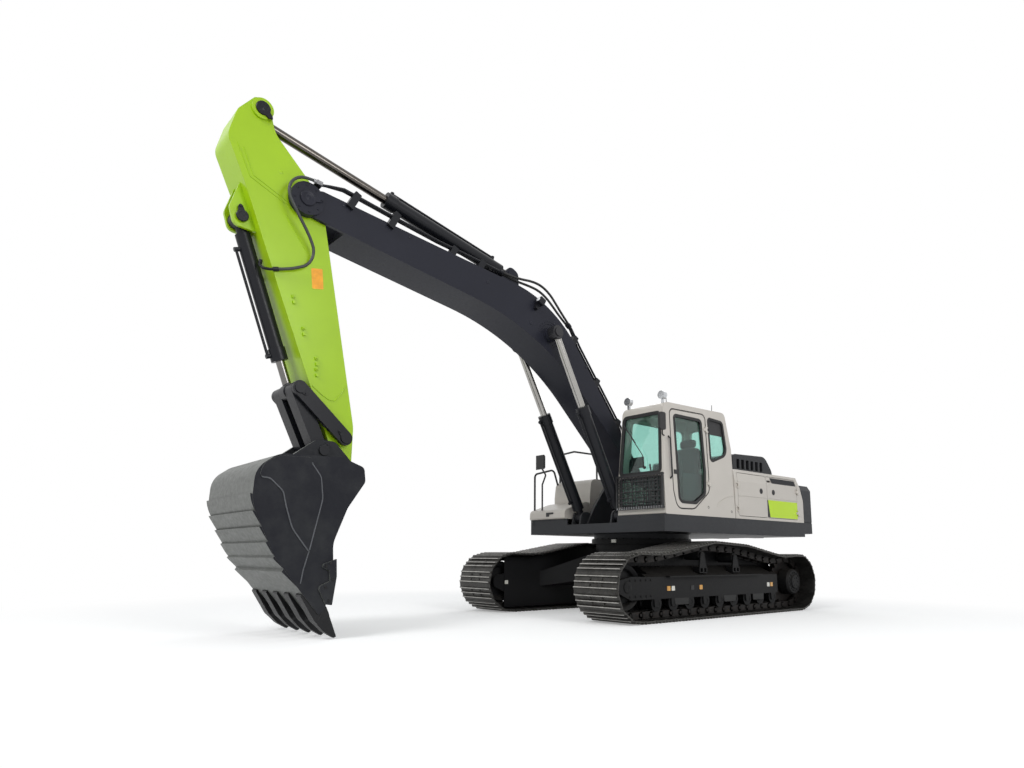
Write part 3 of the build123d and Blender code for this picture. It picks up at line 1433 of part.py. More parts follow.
def build():
    """Fill the table of nodes."""
    track = make_track()
    nodes["track_left"] = track
    nodes["track_right"] = other_side(track)
    frame = make_track_frame()
    nodes["track_frame_left"] = frame
    nodes["track_frame_right"] = other_side(frame)
    nodes["idlers"] = make_idlers()
    nodes["sprockets"] = make_sprockets()
    nodes["final_drives"] = make_final_drives()
    nodes["track_rollers"] = make_track_rollers()
    nodes["carrier_rollers"] = make_carrier_rollers()
    nodes["carbody"] = make_carbody()
    nodes["slew_ring"] = make_slew_ring()
    nodes["main_frame"] = make_main_frame()
    nodes["counterweight"] = make_counterweight()
    nodes["engine_block"] = block(*engine_x, *engine_y, deck_bottom + deck_plate + seat, engine_top)
    nodes["radiator"] = block(*radiator_x, *radiator_y, deck_bottom + deck_plate + seat, radiator_top)
    add_side_doors()
    add_hood()
    nodes["fuel_tank"], nodes["tool_box"] = make_tanks()
    add_cab()
    nodes["operator_seat"] = make_seat()
    nodes["consoles"] = make_consoles()
    nodes["front_guard"] = make_guard()
    nodes["work_lamps"] = [trimmed(lamp, cab_body(0)) for lamp in make_lamps()]
    left_mirror, right_mirror = make_mirrors()
    nodes["mirrors"] = [trimmed(left_mirror, cab_body(0)), trimmed(right_mirror, nodes["tool_box"])]
    nodes["handrails"] = [
        trimmed(rail, nodes["tool_box"], nodes["fuel_tank"]) for rail in make_handrails()
    ]
    nodes["boom"] = make_boom()
    nodes["boom_pipes"] = trimmed(make_boom_pipes(), nodes["boom"])
    nodes["boom_pipes"] = [nodes["boom_pipes"], other_side(nodes["boom_pipes"])]
    nodes["boom_hoses"] = []
    for index, route in enumerate(bend_hose_routes):
        nodes["boom_hoses"] += hose(f"boom hose {index + 1}", route, boom_frame)
    nodes["arm_hoses"] = hose("arm hose", arm_hose_route, arm_frame)
    nodes["boom_lamp"] = make_boom_lamp()
    nodes["arm"] = make_arm()
    nodes["arm_pipes"] = [trimmed(pipe, nodes["arm"]) for pipe in make_arm_pipes()]
    nodes["idler_links"] = make_idler_links()
    nodes["bucket_link"] = make_bucket_link()
    nodes["bucket"] = make_bucket()
    nodes["bucket_teeth"] = [trimmed(tooth, nodes["bucket"]) for tooth in make_teeth()]
    add_cylinders()


build()


def node_solid(shape):
    """All solids of a node as one compound."""
    pieces = shape if isinstance(shape, list) else [shape]
    return Compound([solid for piece in pieces for solid in piece.solids()])


rear_x = node_solid(nodes["counterweight"]).bounding_box().min.X
front_x = max(node_solid(nodes[name]).bounding_box().max.X for name in ("arm", "idler_links", "bucket"))
middle_x = (rear_x + front_x) / 2
print("middle of the machine in front of the slew axis", round(middle_x, 3))
for name, shape in nodes.items():
    export_step(Pos(-middle_x, 0, 0) * node_solid(shape), f"parts/{name}.step")
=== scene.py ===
"""Looks of the crawler excavator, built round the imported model.

Lengths are in millimetres in the machine's own frame (slew axis at x = 0, y = 0, ground at
z = 0, +X forward, +Y left), and to_row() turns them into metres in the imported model's frame.
"""
import json
import math

import bmesh
import bpy
from mathutils import Matrix, Vector


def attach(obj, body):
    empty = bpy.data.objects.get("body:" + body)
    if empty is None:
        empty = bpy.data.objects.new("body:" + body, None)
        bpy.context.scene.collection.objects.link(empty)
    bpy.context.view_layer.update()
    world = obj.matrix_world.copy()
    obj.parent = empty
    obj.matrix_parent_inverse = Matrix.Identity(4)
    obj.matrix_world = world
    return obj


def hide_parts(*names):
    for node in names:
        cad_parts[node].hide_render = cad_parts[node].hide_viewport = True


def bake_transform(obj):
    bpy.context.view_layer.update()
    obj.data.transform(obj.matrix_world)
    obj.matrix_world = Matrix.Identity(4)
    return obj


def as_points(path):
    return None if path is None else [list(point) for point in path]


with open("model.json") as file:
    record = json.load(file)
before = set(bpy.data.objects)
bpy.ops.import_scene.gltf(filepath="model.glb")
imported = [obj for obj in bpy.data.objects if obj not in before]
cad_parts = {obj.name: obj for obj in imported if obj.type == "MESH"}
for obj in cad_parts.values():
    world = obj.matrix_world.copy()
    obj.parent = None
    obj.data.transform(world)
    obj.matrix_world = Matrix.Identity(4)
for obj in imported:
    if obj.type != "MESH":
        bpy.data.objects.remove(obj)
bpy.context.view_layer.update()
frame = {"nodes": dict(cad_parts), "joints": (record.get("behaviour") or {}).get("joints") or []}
slew = next(joint for joint in frame["joints"] if joint["name"] == "slew")
shift_x = slew["pos_m"][0]
scene = bpy.context.scene


# Driving sizes, the same as the model's; a place in a side view is (u, w) in its frame

boom_foot, boom_angle, boom_length = (320, 2050), 26.5, 6570
arm_angle, arm_length = -100.7, 3236
boom_rod_pin = (2780, 985)
arm_rod_pin = (-1016, 368)
bucket_barrel_pin = (235, 712)
bucket_rod_pin = (560, 930)
boom_half, arm_half, bucket_half = 290, 234, 720
house_side = 1460
house_front = 1168

to_front, to_left, to_top = Vector((1, 0, 0)), Vector((0, 1, 0)), Vector((0, 0, 1))


def side(x, z, degrees=0.0):
    """A frame of the side view: (u, y, w) with u turned up from +X by an angle."""
    cosine, sine = math.cos(math.radians(degrees)), math.sin(math.radians(degrees))
    return lambda u, y, w: Vector((x + u * cosine - w * sine, y, z + u * sine + w * cosine))


machine = side(0, 0)
boom_side = side(*boom_foot, boom_angle)
nose = boom_side(boom_length, 0, 0)
arm_side = side(nose.x, nose.z, arm_angle)
arm_tip = arm_side(arm_length, 0, 0)
bucket_side = side(arm_tip.x, arm_tip.z)


def placed(name, data):
    """A new object in the scene."""
    item = bpy.data.objects.new(name, data)
    scene.collection.objects.link(item)
    return item


def to_row(point):
    """A point of the machine in millimetres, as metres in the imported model's frame."""
    return (point.x / 1000 + shift_x, point.y / 1000, point.z / 1000)


def house_wall(height):
    """The Y of the side panels, which lean in above the shoulder."""
    return house_side - 36 / 190 * max(0.0, height - 2100)


def cab_wall(height):
    """The Y of the cab's left face, which leans in towards the roof."""
    return house_side - 60 / 1680 * (height - 1490)


def on_cab_wall(x, out, z):
    """A point on the cab's left face, or outside it."""
    return Vector((x, cab_wall(z) + out, z))


def on_cab_front(y, out, z):
    """A point on the cab's front face, which leans back above its sill, or ahead of it."""
    return Vector((house_front - 58 / 1060 * max(0.0, z - 2100) + out, y, z))


# Materials

def shade(colour, factor=1.0):
    """A colour from 0 to 255 on the usual display scale, as linear light times a factor."""
    values = []
    for value in colour:
        share = value / 255
        light = share / 12.92 if share <= 0.04045 else ((share + 0.055) / 1.055) ** 2.4
        values.append(min(1.0, light * factor))
    return (*values, 1.0)


class Nodes:
    """A node tree with short calls for what is needed here."""

    def __init__(self, owner):
        owner.use_nodes = True
        self.tree = owner.node_tree

    def put(self, target, value):
        """Link an output to an input, or set the input to a value."""
        if isinstance(value, bpy.types.NodeSocket):
            self.tree.links.new(value, target)
        else:
            target.default_value = value

    def fill(self, node, **inputs):
        """Fill a node's inputs by name, with _ for a space."""
        for key, value in inputs.items():
            self.put(node.inputs[key.replace("_", " ")], value)
        return node

    def new(self, kind, **inputs):
        return self.fill(self.tree.nodes.new(kind), **inputs)

    def ordered(self, kind, *values, operation=None):
        """A node whose first inputs take values in their order."""
        node = self.tree.nodes.new(kind)
        if operation:
            node.operation = operation
        for target, value in zip(node.inputs, values):
            self.put(target, value)
        return node

    def maths(self, operation, first, second=0.0):
        return self.ordered("ShaderNodeMath", first, second, operation=operation).outputs[0]

    def ramp(self, source, low=0.3, high=0.7, start=0.0, finish=1.0):
        """A value that runs from start to finish as its source runs from low to high."""
        return self.ordered("ShaderNodeMapRange", source, low, high, start, finish).outputs["Result"]

    def mix(self, share, first, second):
        """A mix of two colours."""
        node = self.tree.nodes.new("ShaderNodeMix")
        node.data_type = "RGBA"
        for index, value in ((0, share), (6, first), (7, second)):
            self.put(node.inputs[index], value)
        return node.outputs[2]

    def seen_directly(self):
        """1 where a camera, glossy or transmission ray looks, else 0."""
        path = self.new("ShaderNodeLightPath").outputs
        looked = self.maths("MAXIMUM", path["Is Camera Ray"], path["Is Glossy Ray"])
        return self.maths("MAXIMUM", looked, path["Is Transmission Ray"])


class Surface(Nodes):
    """A new material with its shader, and patterns placed by the object's own coordinates."""

    def __init__(self, name):
        self.material = bpy.data.materials.new(name)
        super().__init__(self.material)
        self.shader = self.tree.nodes["Principled BSDF"]
        self.place = self.new("ShaderNodeTexCoord").outputs["Object"]

    def finish(self, **inputs):
        """The material, with its shader's inputs filled."""
        self.fill(self.shader, **inputs)
        return self.material

    def noise(self, scale, detail=4.0, stretch=None, rough=0.6):
        """Noise from 0 to 1, stretched along an axis where its factor is small."""
        place = self.place
        if stretch:
            place = self.new("ShaderNodeMapping", Vector=place, Scale=stretch).outputs["Vector"]
        node = self.new("ShaderNodeTexNoise", Vector=place, Scale=scale, Detail=detail, Roughness=rough)
        return node.outputs["Fac"]

    def mottled(self, share, colour, low, high):
        """A colour that a pattern darkens and lightens by two factors."""
        return self.mix(share, shade(colour, low), shade(colour, high))

    def upward(self):
        """How far a surface faces up, from 0 to 1."""
        normal = self.new("ShaderNodeNewGeometry").outputs["Normal"]
        return self.ramp(self.new("ShaderNodeSeparateXYZ", Vector=normal).outputs["Z"], 0.1, 0.9)

    def bump(self, source, strength, distance, rounding=0.0):
        """Relief from a pattern, on edges rounded by some metres."""
        node = self.new("ShaderNodeBump", Strength=strength, Distance=distance, Height=source)
        if rounding:
            edge = self.new("ShaderNodeBevel", Radius=rounding)
            edge.samples = 4
            self.put(node.inputs["Normal"], edge.outputs["Normal"])
        self.fill(self.shader, Normal=node.outputs["Normal"])


def paint(name, colour, roughness=0.42, mottle=0.06, dust=0.15, coat=0.25, shine=0.5):
    """Sprayed paint: slight mottling, dust on faces that look up, rounded edges."""
    skin = Surface(name)
    cloud = skin.ramp(skin.noise(1.3, 5.0))
    fine = skin.noise(38.0, 6.0)
    settled = skin.maths("MULTIPLY", skin.upward(), skin.ramp(fine, 0.35, 0.75, 0.2, 1.0))
    clean = skin.mottled(cloud, colour, 1 - mottle, 1 + mottle)
    base = skin.mix(skin.maths("MULTIPLY", settled, dust), clean, shade((150, 142, 130)))
    skin.bump(skin.noise(160.0, 3.0), 0.05, 0.002, 0.004)
    return skin.finish(Base_Color=base,
                       Roughness=skin.ramp(fine, 0.3, 0.7, roughness - 0.06, roughness + 0.08),
                       Coat_Weight=coat, Coat_Roughness=0.18, Specular_IOR_Level=shine)


def steel(name, colour, roughness, metallic, mottle, scale, rust=0.0):
    """Bare or thinly painted steel with a worn, blotchy surface and rust in spots."""
    skin = Surface(name)
    cloud = skin.ramp(skin.noise(scale, 8.0, rough=0.7))
    base = skin.mottled(cloud, colour, 1 - mottle, 1 + mottle)
    if rust:
        spots = skin.ramp(skin.noise(scale * 2.3, 9.0, rough=0.75), 0.52, 0.7, 0.0, rust)
        base = skin.mix(spots, base, shade((96, 66, 46)))
    blotches = skin.noise(scale * 7, 6.0)
    skin.bump(skin.noise(scale * 12, 8.0), 0.25, 0.003, 0.003)
    return skin.finish(Base_Color=base, Metallic=metallic,
                       Roughness=skin.ramp(blotches, 0.3, 0.7, roughness - 0.12, roughness + 0.15))


def plain(name, colour, roughness=0.6, metallic=0.0, grain=220.0, bump=0.15, coat=0.0):
    """Moulded plastic, rubber or a small fitting: fine grain and slight mottling."""
    skin = Surface(name)
    skin.bump(skin.noise(grain, 4.0), bump, 0.001)
    return skin.finish(Base_Color=skin.mottled(skin.ramp(skin.noise(14.0)), colour, 0.85, 1.15),
                       Roughness=skin.ramp(skin.noise(60.0), 0.3, 0.7, roughness - 0.08, roughness + 0.08),
                       Metallic=metallic, Coat_Weight=coat)


def glass(name, tint):
    """Tinted safety glass with a little dust."""
    skin = Surface(name)
    haze = skin.ramp(skin.noise(9.0, 6.0), 0.4, 0.8, 0.0, 0.06)
    return skin.finish(Base_Color=skin.mix(haze, shade(tint), shade((210, 214, 206))),
                       Roughness=skin.ramp(skin.noise(30.0), 0.3, 0.8, 0.02, 0.07),
                       Transmission_Weight=1.0, IOR=1.45)


def cloth(name, colour):
    """Woven seat cover: two crossed sets of threads."""
    skin = Surface(name)
    weave = skin.maths("MULTIPLY", skin.noise(420.0, 2.0, (1, 1, 6)), skin.noise(420.0, 2.0, (6, 1, 1)))
    base = skin.mottled(skin.ramp(weave, 0.12, 0.4), colour, 0.7, 1.5)
    skin.bump(weave, 0.4, 0.002)
    return skin.finish(Base_Color=base, Roughness=0.9, Sheen_Weight=0.3)


def bucket_skin(name, back, sides):
    """Worn grey on the bucket's curved back, dark paint on its side plates."""
    skin = Surface(name)
    normal = skin.new("ShaderNodeTexCoord").outputs["Normal"]
    across = skin.new("ShaderNodeSeparateXYZ", Vector=normal).outputs["Y"]
    sideways = skin.ramp(skin.maths("ABSOLUTE", across), 0.6, 0.85)
    worn = skin.mottled(skin.ramp(skin.noise(3.0, 8.0, (1, 0.3, 1), 0.7)), back, 0.82, 1.15)
    scuffs = skin.ramp(skin.noise(26.0, 9.0, (1, 0.15, 1), 0.8), 0.5, 0.72)
    worn = skin.mix(skin.maths("MULTIPLY", scuffs, 0.35), worn, shade(back, 1.5))
    dusty = skin.mix(skin.ramp(skin.noise(2.0, 6.0), 0.4, 0.8, 0.0, 0.3), shade(sides), shade(back, 0.8))
    skin.bump(skin.noise(40.0, 8.0, (1, 0.3, 1)), 0.12, 0.003, 0.004)
    return skin.finish(Base_Color=skin.mix(sideways, worn, dusty),
                       Roughness=skin.ramp(skin.noise(22.0, 6.0), 0.3, 0.7, 0.38, 0.6),
                       Metallic=skin.ramp(sideways, 0.0, 1.0, 0.3, 0.0),
                       Specular_IOR_Level=skin.ramp(sideways, 0.0, 1.0, 0.5, 0.15))


def rod_metal(name, place, pin, radius, tone):
    """A polished piston rod whose end, around its pin's centre, is painted dark."""
    skin = Surface(name)
    eye = to_row(place(pin[0], 0, pin[1]))
    flat = skin.ordered("ShaderNodeVectorMath", skin.place, (1.0, 0.0, 1.0), operation="MULTIPLY")
    reach = skin.ordered("ShaderNodeVectorMath", flat.outputs["Vector"], eye, operation="DISTANCE")
    shiny = skin.ramp(reach.outputs["Value"], radius / 1000, (radius + 3) / 1000)
    polish = skin.mottled(skin.ramp(skin.noise(5.0, 4.0, (1, 1, 0.2))), tone, 0.88, 1.12)
    skin.bump(skin.noise(60.0, 4.0), 0.02, 0.001)
    return skin.finish(Base_Color=skin.mix(shiny, shade((28, 28, 32)), polish), Metallic=shiny,
                       Roughness=skin.maths("SUBTRACT", 0.45, skin.maths("MULTIPLY", shiny, 0.25)))


look = {
    "lime": paint("lime_paint", (158, 196, 14), 0.36, 0.05, 0.06, 0.2, 0.35),
    "slate": paint("slate_paint", (37, 38, 47), 0.40, 0.08, 0.06, 0.04, 0.15),
    "barrel": paint("barrel_paint", (24, 25, 30), 0.36, 0.08, 0.05, 0.06, 0.2),
    "grey": paint("grey_paint", (198, 192, 184), 0.42, 0.03, 0.12),
    "dark": paint("dark_paint", (50, 51, 54), 0.48, 0.08, 0.12, 0.02, 0.2),
    "under": paint("undercarriage_paint", (25, 25, 26), 0.5, 0.15, 0.1, 0.0, 0.15),
    "patch": paint("patch_paint", (190, 226, 6), 0.35, 0.03, 0.05, 0.2, 0.35),
    "guard": paint("guard_paint", (46, 46, 46), 0.5, 0.12, 0.1, 0.0, 0.2),
    "shoes": steel("track_steel", (66, 65, 63), 0.36, 0.8, 0.4, 9.0, 0.12),
    # Pale bare steel for the grouser tops: partly real wear, partly a painted highlight.
    "worn": steel("worn_and_highlit_steel", (168, 166, 162), 0.3, 0.9, 0.3, 9.0, 0.08),
    "chain": steel("chain_steel", (34, 32, 31), 0.5, 0.6, 0.3, 14.0, 0.25),
    "teeth": steel("tooth_steel", (24, 24, 26), 0.45, 0.5, 0.25, 20.0),
    "bucket": bucket_skin("bucket_steel", (100, 102, 99), (29, 30, 36)),
    "weld": plain("weld_line", (84, 86, 90), 0.5, 0.3),
    "boom_rod": rod_metal("boom_rod_chrome", boom_side, boom_rod_pin, 108, (166, 164, 160)),
    # All the rods are one chrome; the arm rod's darker tone is painted shade.
    "arm_rod": rod_metal("arm_rod_shaded_chrome", arm_side, arm_rod_pin, 111, (92, 88, 84)),
    "bucket_rod": rod_metal("bucket_rod_chrome", bucket_side, bucket_rod_pin, 103, (120, 118, 116)),
    "black": plain("black_plastic", (28, 28, 30), 0.55),
    "rubber": plain("black_rubber", (20, 20, 21), 0.62, grain=120.0),
    "metal": plain("small_metal", (150, 150, 152), 0.35, 0.9, bump=0.05),
    "lamp": plain("lamp_chrome", (205, 207, 210), 0.22, 0.8, bump=0.03, coat=0.6),
    "amber": plain("amber_reflector", (214, 150, 30), 0.3, coat=0.8),
    "white": plain("white_reflector", (226, 224, 214), 0.35, coat=0.6),
    "lens": plain("lamp_lens", (232, 234, 236), 0.25, coat=0.8),
    "hose": plain("grey_hose", (50, 53, 51), 0.45, grain=300.0),
    "orange": plain("orange_label", (244, 164, 16), 0.4),
    "glass": glass("cab_glass", (196, 232, 224)),
    "seat": cloth("seat_fabric", (44, 44, 48)),
}

node_looks = {
    "lime": ["arm"],
    "slate": ["boom"],
    "barrel": ["idler_links", "bucket_link", "boom_cylinder_barrels", "arm_cylinder_barrel",
               "bucket_cylinder_barrel", "boom_pipes", "arm_pipes", "boom_lamp"],
    "grey": ["left_housing", "right_housing", "fuel_tank", "tool_box", "cab_shell", "cab_door",
             "left_front_door", "left_rear_door", "right_service_door"],
    "dark": ["main_frame", "counterweight", "top_cover", "engine_hood"],
    "rubber": ["boom_hoses", "arm_hoses"],
    "under": ["track_frame_left", "track_frame_right", "idlers", "final_drives", "track_rollers",
              "carrier_rollers", "carbody", "slew_ring", "engine_block", "radiator"],
    "shoes": ["track_left", "track_right"],
    "chain": ["sprockets"],
    "bucket": ["bucket"],
    "teeth": ["bucket_teeth"],
    "boom_rod": ["boom_cylinder_rods"],
    "arm_rod": ["arm_cylinder_rod"],
    "bucket_rod": ["bucket_cylinder_rod"],
    "black": ["consoles", "front_guard", "mirrors", "handrails"],
    "lamp": ["work_lamps"],
    "glass": ["cab_glazing", "door_glass"],
    "seat": ["operator_seat"],
}
for key, names in node_looks.items():
    for name in names:
        mesh = frame["nodes"][name].data
        mesh.materials.clear()
        mesh.materials.append(look[key])


# Shapes

def rounded(corners, step=12):
    """An outline from (u, w, radius) corners, with each arc in steps of some degrees."""
    points = []
    for index, (x, z, radius) in enumerate(corners):
        here = Vector((x, z))
        before = (Vector(corners[index - 1][:2]) - here).normalized()
        after = (Vector(corners[(index + 1) % len(corners)][:2]) - here).normalized()
        turn = math.pi - before.angle(after)
        if radius <= 0 or turn < 1e-3:
            points.append(here)
            continue
        reach = radius * math.tan(turn / 2)
        centre = here + (before + after).normalized() * radius / math.cos(turn / 2)
        start = here + before * reach - centre
        sign = 1 if before.cross(after) < 0 else -1
        steps = max(2, round(math.degrees(turn) / step))
        for part in range(steps + 1):
            points.append(centre + Matrix.Rotation(sign * turn * part / steps, 2) @ start)
    return points


def rectangle(low_u, high_u, low_w, high_w, radius):
    """A rectangle's outline with round corners."""
    corners = (low_u, low_w), (high_u, low_w), (high_u, high_w), (low_u, high_w)
    return rounded([(*corner, radius) for corner in corners])


def moved_in(outline, amount):
    """An anticlockwise outline whose points all move inwards by an amount."""
    moved = []
    for index, point in enumerate(outline):
        before = (point - outline[index - 1]).normalized()
        after = (outline[(index + 1) % len(outline)] - point).normalized()
        along = (before + after).normalized()
        moved.append(point + Vector((-along.y, along.x)) * amount)
    return moved


def circle(centre, axis, across, radius, count):
    """Points round an axis, the first of them straight across it."""
    other = axis.cross(across)
    return [centre + (across * math.cos(t) + other * math.sin(t)) * radius
            for t in (2 * math.pi * i / count for i in range(count))]


class Shape:
    """Points and faces gathered for one piece."""

    def __init__(self):
        self.points = []
        self.faces = []

    def add(self, points, faces):
        base = len(self.points)
        self.points += [Vector(point) for point in points]
        self.faces += [[base + index for index in face] for face in faces]

    def loft(self, rings, closed=False):
        """A skin over rings with the same number of points each, with ends or closed round."""
        size = len(rings[0])
        faces = []
        for index in range(len(rings) - (0 if closed else 1)):
            low, high = index * size, (index + 1) % len(rings) * size
            for i in range(size):
                j = (i + 1) % size
                faces.append([low + i, low + j, high + j, high + i])
        if not closed:
            faces.append(list(range(size)))
            faces.append([(len(rings) - 1) * size + i for i in range(size)][::-1])
        self.add([point for ring in rings for point in ring], faces)
        return self

    def prism(self, outline, y_low, y_high, place=machine):
        """A plate with an outline in the side view."""
        return self.loft([[place(u, y, w) for u, w in outline] for y in (y_low, y_high)])

    def box(self, low, high):
        outline = [(low[0], low[2]), (high[0], low[2]), (high[0], high[2]), (low[0], high[2])]
        return self.prism(outline, low[1], high[1])

    def band(self, corners, outside, inside, low, high, place):
        """A flat ring along an outline, from outside to inside it and from low to high on a face."""
        outline = rounded(corners, 10)
        if sum(a.cross(b) for a, b in zip(outline, outline[1:] + outline[:1])) < 0:
            outline.reverse()
        outer, inner = moved_in(outline, -outside), moved_in(outline, inside)
        section = ((outer, low), (outer, high), (inner, high), (inner, low))
        return self.loft([[place(p.x, out, p.y) for p in line] for line, out in section], closed=True)

    def lathe(self, foot, axis, profile, count=24):
        """A turned body on an axis, from (radius, distance from its foot) pairs."""
        foot, axis = Vector(foot), Vector(axis)
        across = axis.orthogonal().normalized()
        return self.loft([circle(foot + axis * along, axis, across, radius, count)
                          for radius, along in profile])

    def rod(self, start, finish, radius, count=20, chamfer=0.0):
        line = Vector(finish) - Vector(start)
        profile = [(radius, 0), (radius, line.length)]
        if chamfer:
            profile = [(radius - chamfer, 0), (radius, chamfer), (radius, line.length - chamfer),
                       (radius - chamfer, line.length)]
        return self.lathe(start, line.normalized(), profile, count)

    def tube(self, points, radius, count=8):
        """A round tube along a line of points."""
        points = [Vector(point) for point in points]
        rings = []
        across = None
        for index, point in enumerate(points):
            before = points[max(0, index - 1)]
            after = points[min(len(points) - 1, index + 1)]
            axis = (after - before).normalized()
            across = axis.orthogonal() if across is None else across - axis * across.dot(axis)
            across.normalize()
            rings.append(circle(point, axis, across, radius, count))
        return self.loft(rings)

    def bolt(self, foot, axis, size, height):
        """A hexagon head with its washer, standing on a face."""
        foot, axis = Vector(foot), Vector(axis)
        self.lathe(foot, axis, [(size * 1.35, -1), (size * 1.35, 2.5)], 12)
        return self.lathe(foot, axis, [(size, 2.5), (size, height - 2), (size * 0.86, height)], 6)

    def bolt_circle(self, centre, face, radius, count, size, height, place=machine, start=0):
        """Bolts evenly round a hub on the left side, the first at an angle from its frame."""
        for number in range(count):
            turn = math.radians(360 * number / count + start)
            u, w = centre[0] + radius * math.cos(turn), centre[1] + radius * math.sin(turn)
            self.bolt(place(u, face, w), to_left, size, height)
        return self

    def image(self):
        """The mirror image on the machine's other side, as a shape of its own."""
        other = Shape()
        other.add([(p.x, -p.y, p.z) for p in self.points], self.faces)
        return other

    def mirrored(self):
        """The same shape with its mirror image."""
        other = self.image()
        self.add(other.points, other.faces)
        return self

    def build(self, name, body, slot="black_plastic", material="black", bevel=0.0, angle=35, replaces=()):
        """One piece of the scene on its body, with sharp or bevelled edges past an angle."""
        mesh = bpy.data.meshes.new(name)
        mesh.from_pydata([to_row(point) for point in self.points], [], self.faces)
        mesh.validate()
        work = bmesh.new()
        work.from_mesh(mesh)
        bmesh.ops.recalc_face_normals(work, faces=work.faces)
        work.to_mesh(mesh)
        work.free()
        mesh.shade_smooth()
        mesh.set_sharp_from_angle(angle=math.radians(angle))
        mesh.materials.append(look[material])
        piece = placed(name, mesh)
        if bevel:
            edge = piece.modifiers.new("edges", "BEVEL")
            edge.width = bevel / 1000
            edge.segments = 2
            edge.limit_method = "ANGLE"
            edge.angle_limit = math.radians(angle)
            edge.harden_normals = True
        if body:
            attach(piece, body)
        if replaces:
            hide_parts(*replaces)
        return piece


# Tracks

pitch, chain_radius, track_y = 216.0, 375.0, 1325
idler, sprocket = (2060, 470), (-2110, 470)
upper_run = [(1500, 836), (360, 1021), (-500, 981), (-1540, 816)]
shoe_top, rib_places = 69, (-78, 0, 78)


def wheel_arc(wheel, first, last):
    """Points two degrees apart where the chain's pins run round a wheel."""
    return [Vector((wheel[0] + chain_radius * math.cos(t), wheel[1] + chain_radius * math.sin(t)))
            for t in map(math.radians, range(first, last, 2))]


def chain_pins():
    """The chain's pin centres as seen from the side, at one even pitch."""
    high, low = idler[1] + chain_radius, idler[1] - chain_radius
    closing = [(sprocket[0] - 900, low - 900, 0), (idler[0] + 900, low - 900, 0)]
    run = [(idler[0], high, 0), *((x, z, 500) for x, z in upper_run), (sprocket[0], high, 0), *closing]
    line = [Vector((sprocket[0], low)), Vector((idler[0], low)), *wheel_arc(idler, -88, 90),
            *rounded(run, 2)[:-len(closing)], *wheel_arc(sprocket, 92, 270)]
    line.append(line[0])
    lengths = [(b - a).length for a, b in zip(line, line[1:])]
    total = sum(lengths)
    count = round(total / pitch)
    pins = []
    index, passed = 0, 0.0
    for number in range(count):
        target = total * number / count
        while passed + lengths[index] < target:
            passed += lengths[index]
            index += 1
        pins.append(line[index].lerp(line[index + 1], (target - passed) / lengths[index]))
    return pins


def shoe_profile(rise=1.0):
    """One triple-grouser shoe as (along, out), with a lip over the next; rise is a share of its ribs'."""
    profile = [(-112, 55), (-112, 66), (-98, shoe_top)]
    rib_top = shoe_top + 25 * rise
    for place in rib_places:
        profile += [(place - 15, shoe_top), (place - 8, rib_top),
                    (place + 8, rib_top), (place + 15, shoe_top)]
    return profile + [(98, shoe_top), (114, 63), (141, 53), (141, 45), (112, 49), (96, 55)]


def link_frame(pin, following):
    """A frame on one link: (along, y, out) from the middle of its pitch."""
    along = (following - pin).normalized()
    out = Vector((along.y, -along.x))
    middle = (pin + following) / 2

    def spot(a, y, o):
        flat = middle + along * a + out * o
        return Vector((flat.x, track_y + y, flat.y))

    return spot


def make_tracks():
    """Bolted shoes, the chain's plates, pins and bushes, and grouser tops in pale steel, partly real wear and
    partly a painted highlight.
    """
    pins = chain_pins()
    shoes, chain, ribs = Shape(), Shape(), Shape()
    for pin, following in zip(pins, pins[1:] + pins[:1]):
        spot = link_frame(pin, following)
        outward = (spot(0, 0, 1000) - spot(0, 0, 0)).normalized()
        shoes.loft([[spot(a, y, o) for a, o in shoe_profile(rise)]
                    for y, rise in ((-400, 0.35), (-384, 1.0), (384, 1.0), (400, 0.35))])
        for a in rib_places:
            ribs.prism([(a - 9, 88), (a + 9, 88), (a + 6, 94.8), (a - 6, 94.8)], -386, 386, spot)
        for a, y in ((-39, -107), (-39, 107), (39, -107), (39, 107)):
            shoes.bolt(spot(a, y, shoe_top), outward, 13, 14)
        half = (following - pin).length / 2
        plate = rounded([(-half - 46, -46, 44), (half + 40, -40, 40), (half + 44, 30, 30),
                         (half - 20, 54, 10), (-half + 10, 54, 10), (-half - 46, 46, 40)], 30)
        for y in (-107.5, 107.5):
            chain.prism(plate, y - 20, y + 20, spot)
        for reach, radius, count in ((138, 23, 10), (88, 34, 12)):
            chain.rod((pin.x, track_y - reach, pin.y), (pin.x, track_y + reach, pin.y), radius, count)
    # The grousers take the pale steel, which is partly real wear and partly a painted highlight.
    for name, shape, material in (("shoes", shoes, "shoes"), ("chain", chain, "chain"),
                                  ("grousers", ribs, "worn")):
        for hand, built in (("left", shape), ("right", shape.image())):
            built.build(f"track_{name}_{hand}", "undercarriage", "track_steel", material, angle=30,
                        replaces=[f"track_{hand}"] if name == "shoes" else ())


# Digging equipment

def pin_cap(shape, pin, face, radius, reach, toward, place):
    """A pin's end disc with its keeper plate and bolt, just outside the modelled one."""
    turn = math.radians(toward)
    ahead, across = Vector((math.cos(turn), math.sin(turn))), Vector((-math.sin(turn), math.cos(turn)))
    foot, tip = Vector(pin) + ahead * radius * 0.7, Vector(pin) + ahead * (reach - 24)
    shape.lathe(place(pin[0], face, pin[1]), to_left,
                [(radius + 3, 0), (radius + 3, 16), (radius - 4, 22), (radius * 0.62, 22),
                 (radius * 0.58, 19.5), (radius * 0.22, 19.5), (radius * 0.18, 21.5)], 40)
    outline = [foot + across * 38, tip + across * 27, tip + ahead * 27, tip - across * 27, foot - across * 38]
    shape.prism(outline, face, face + 20.5, place)
    shape.bolt(place(tip.x, face + 20, tip.y), to_left, 16, 12)


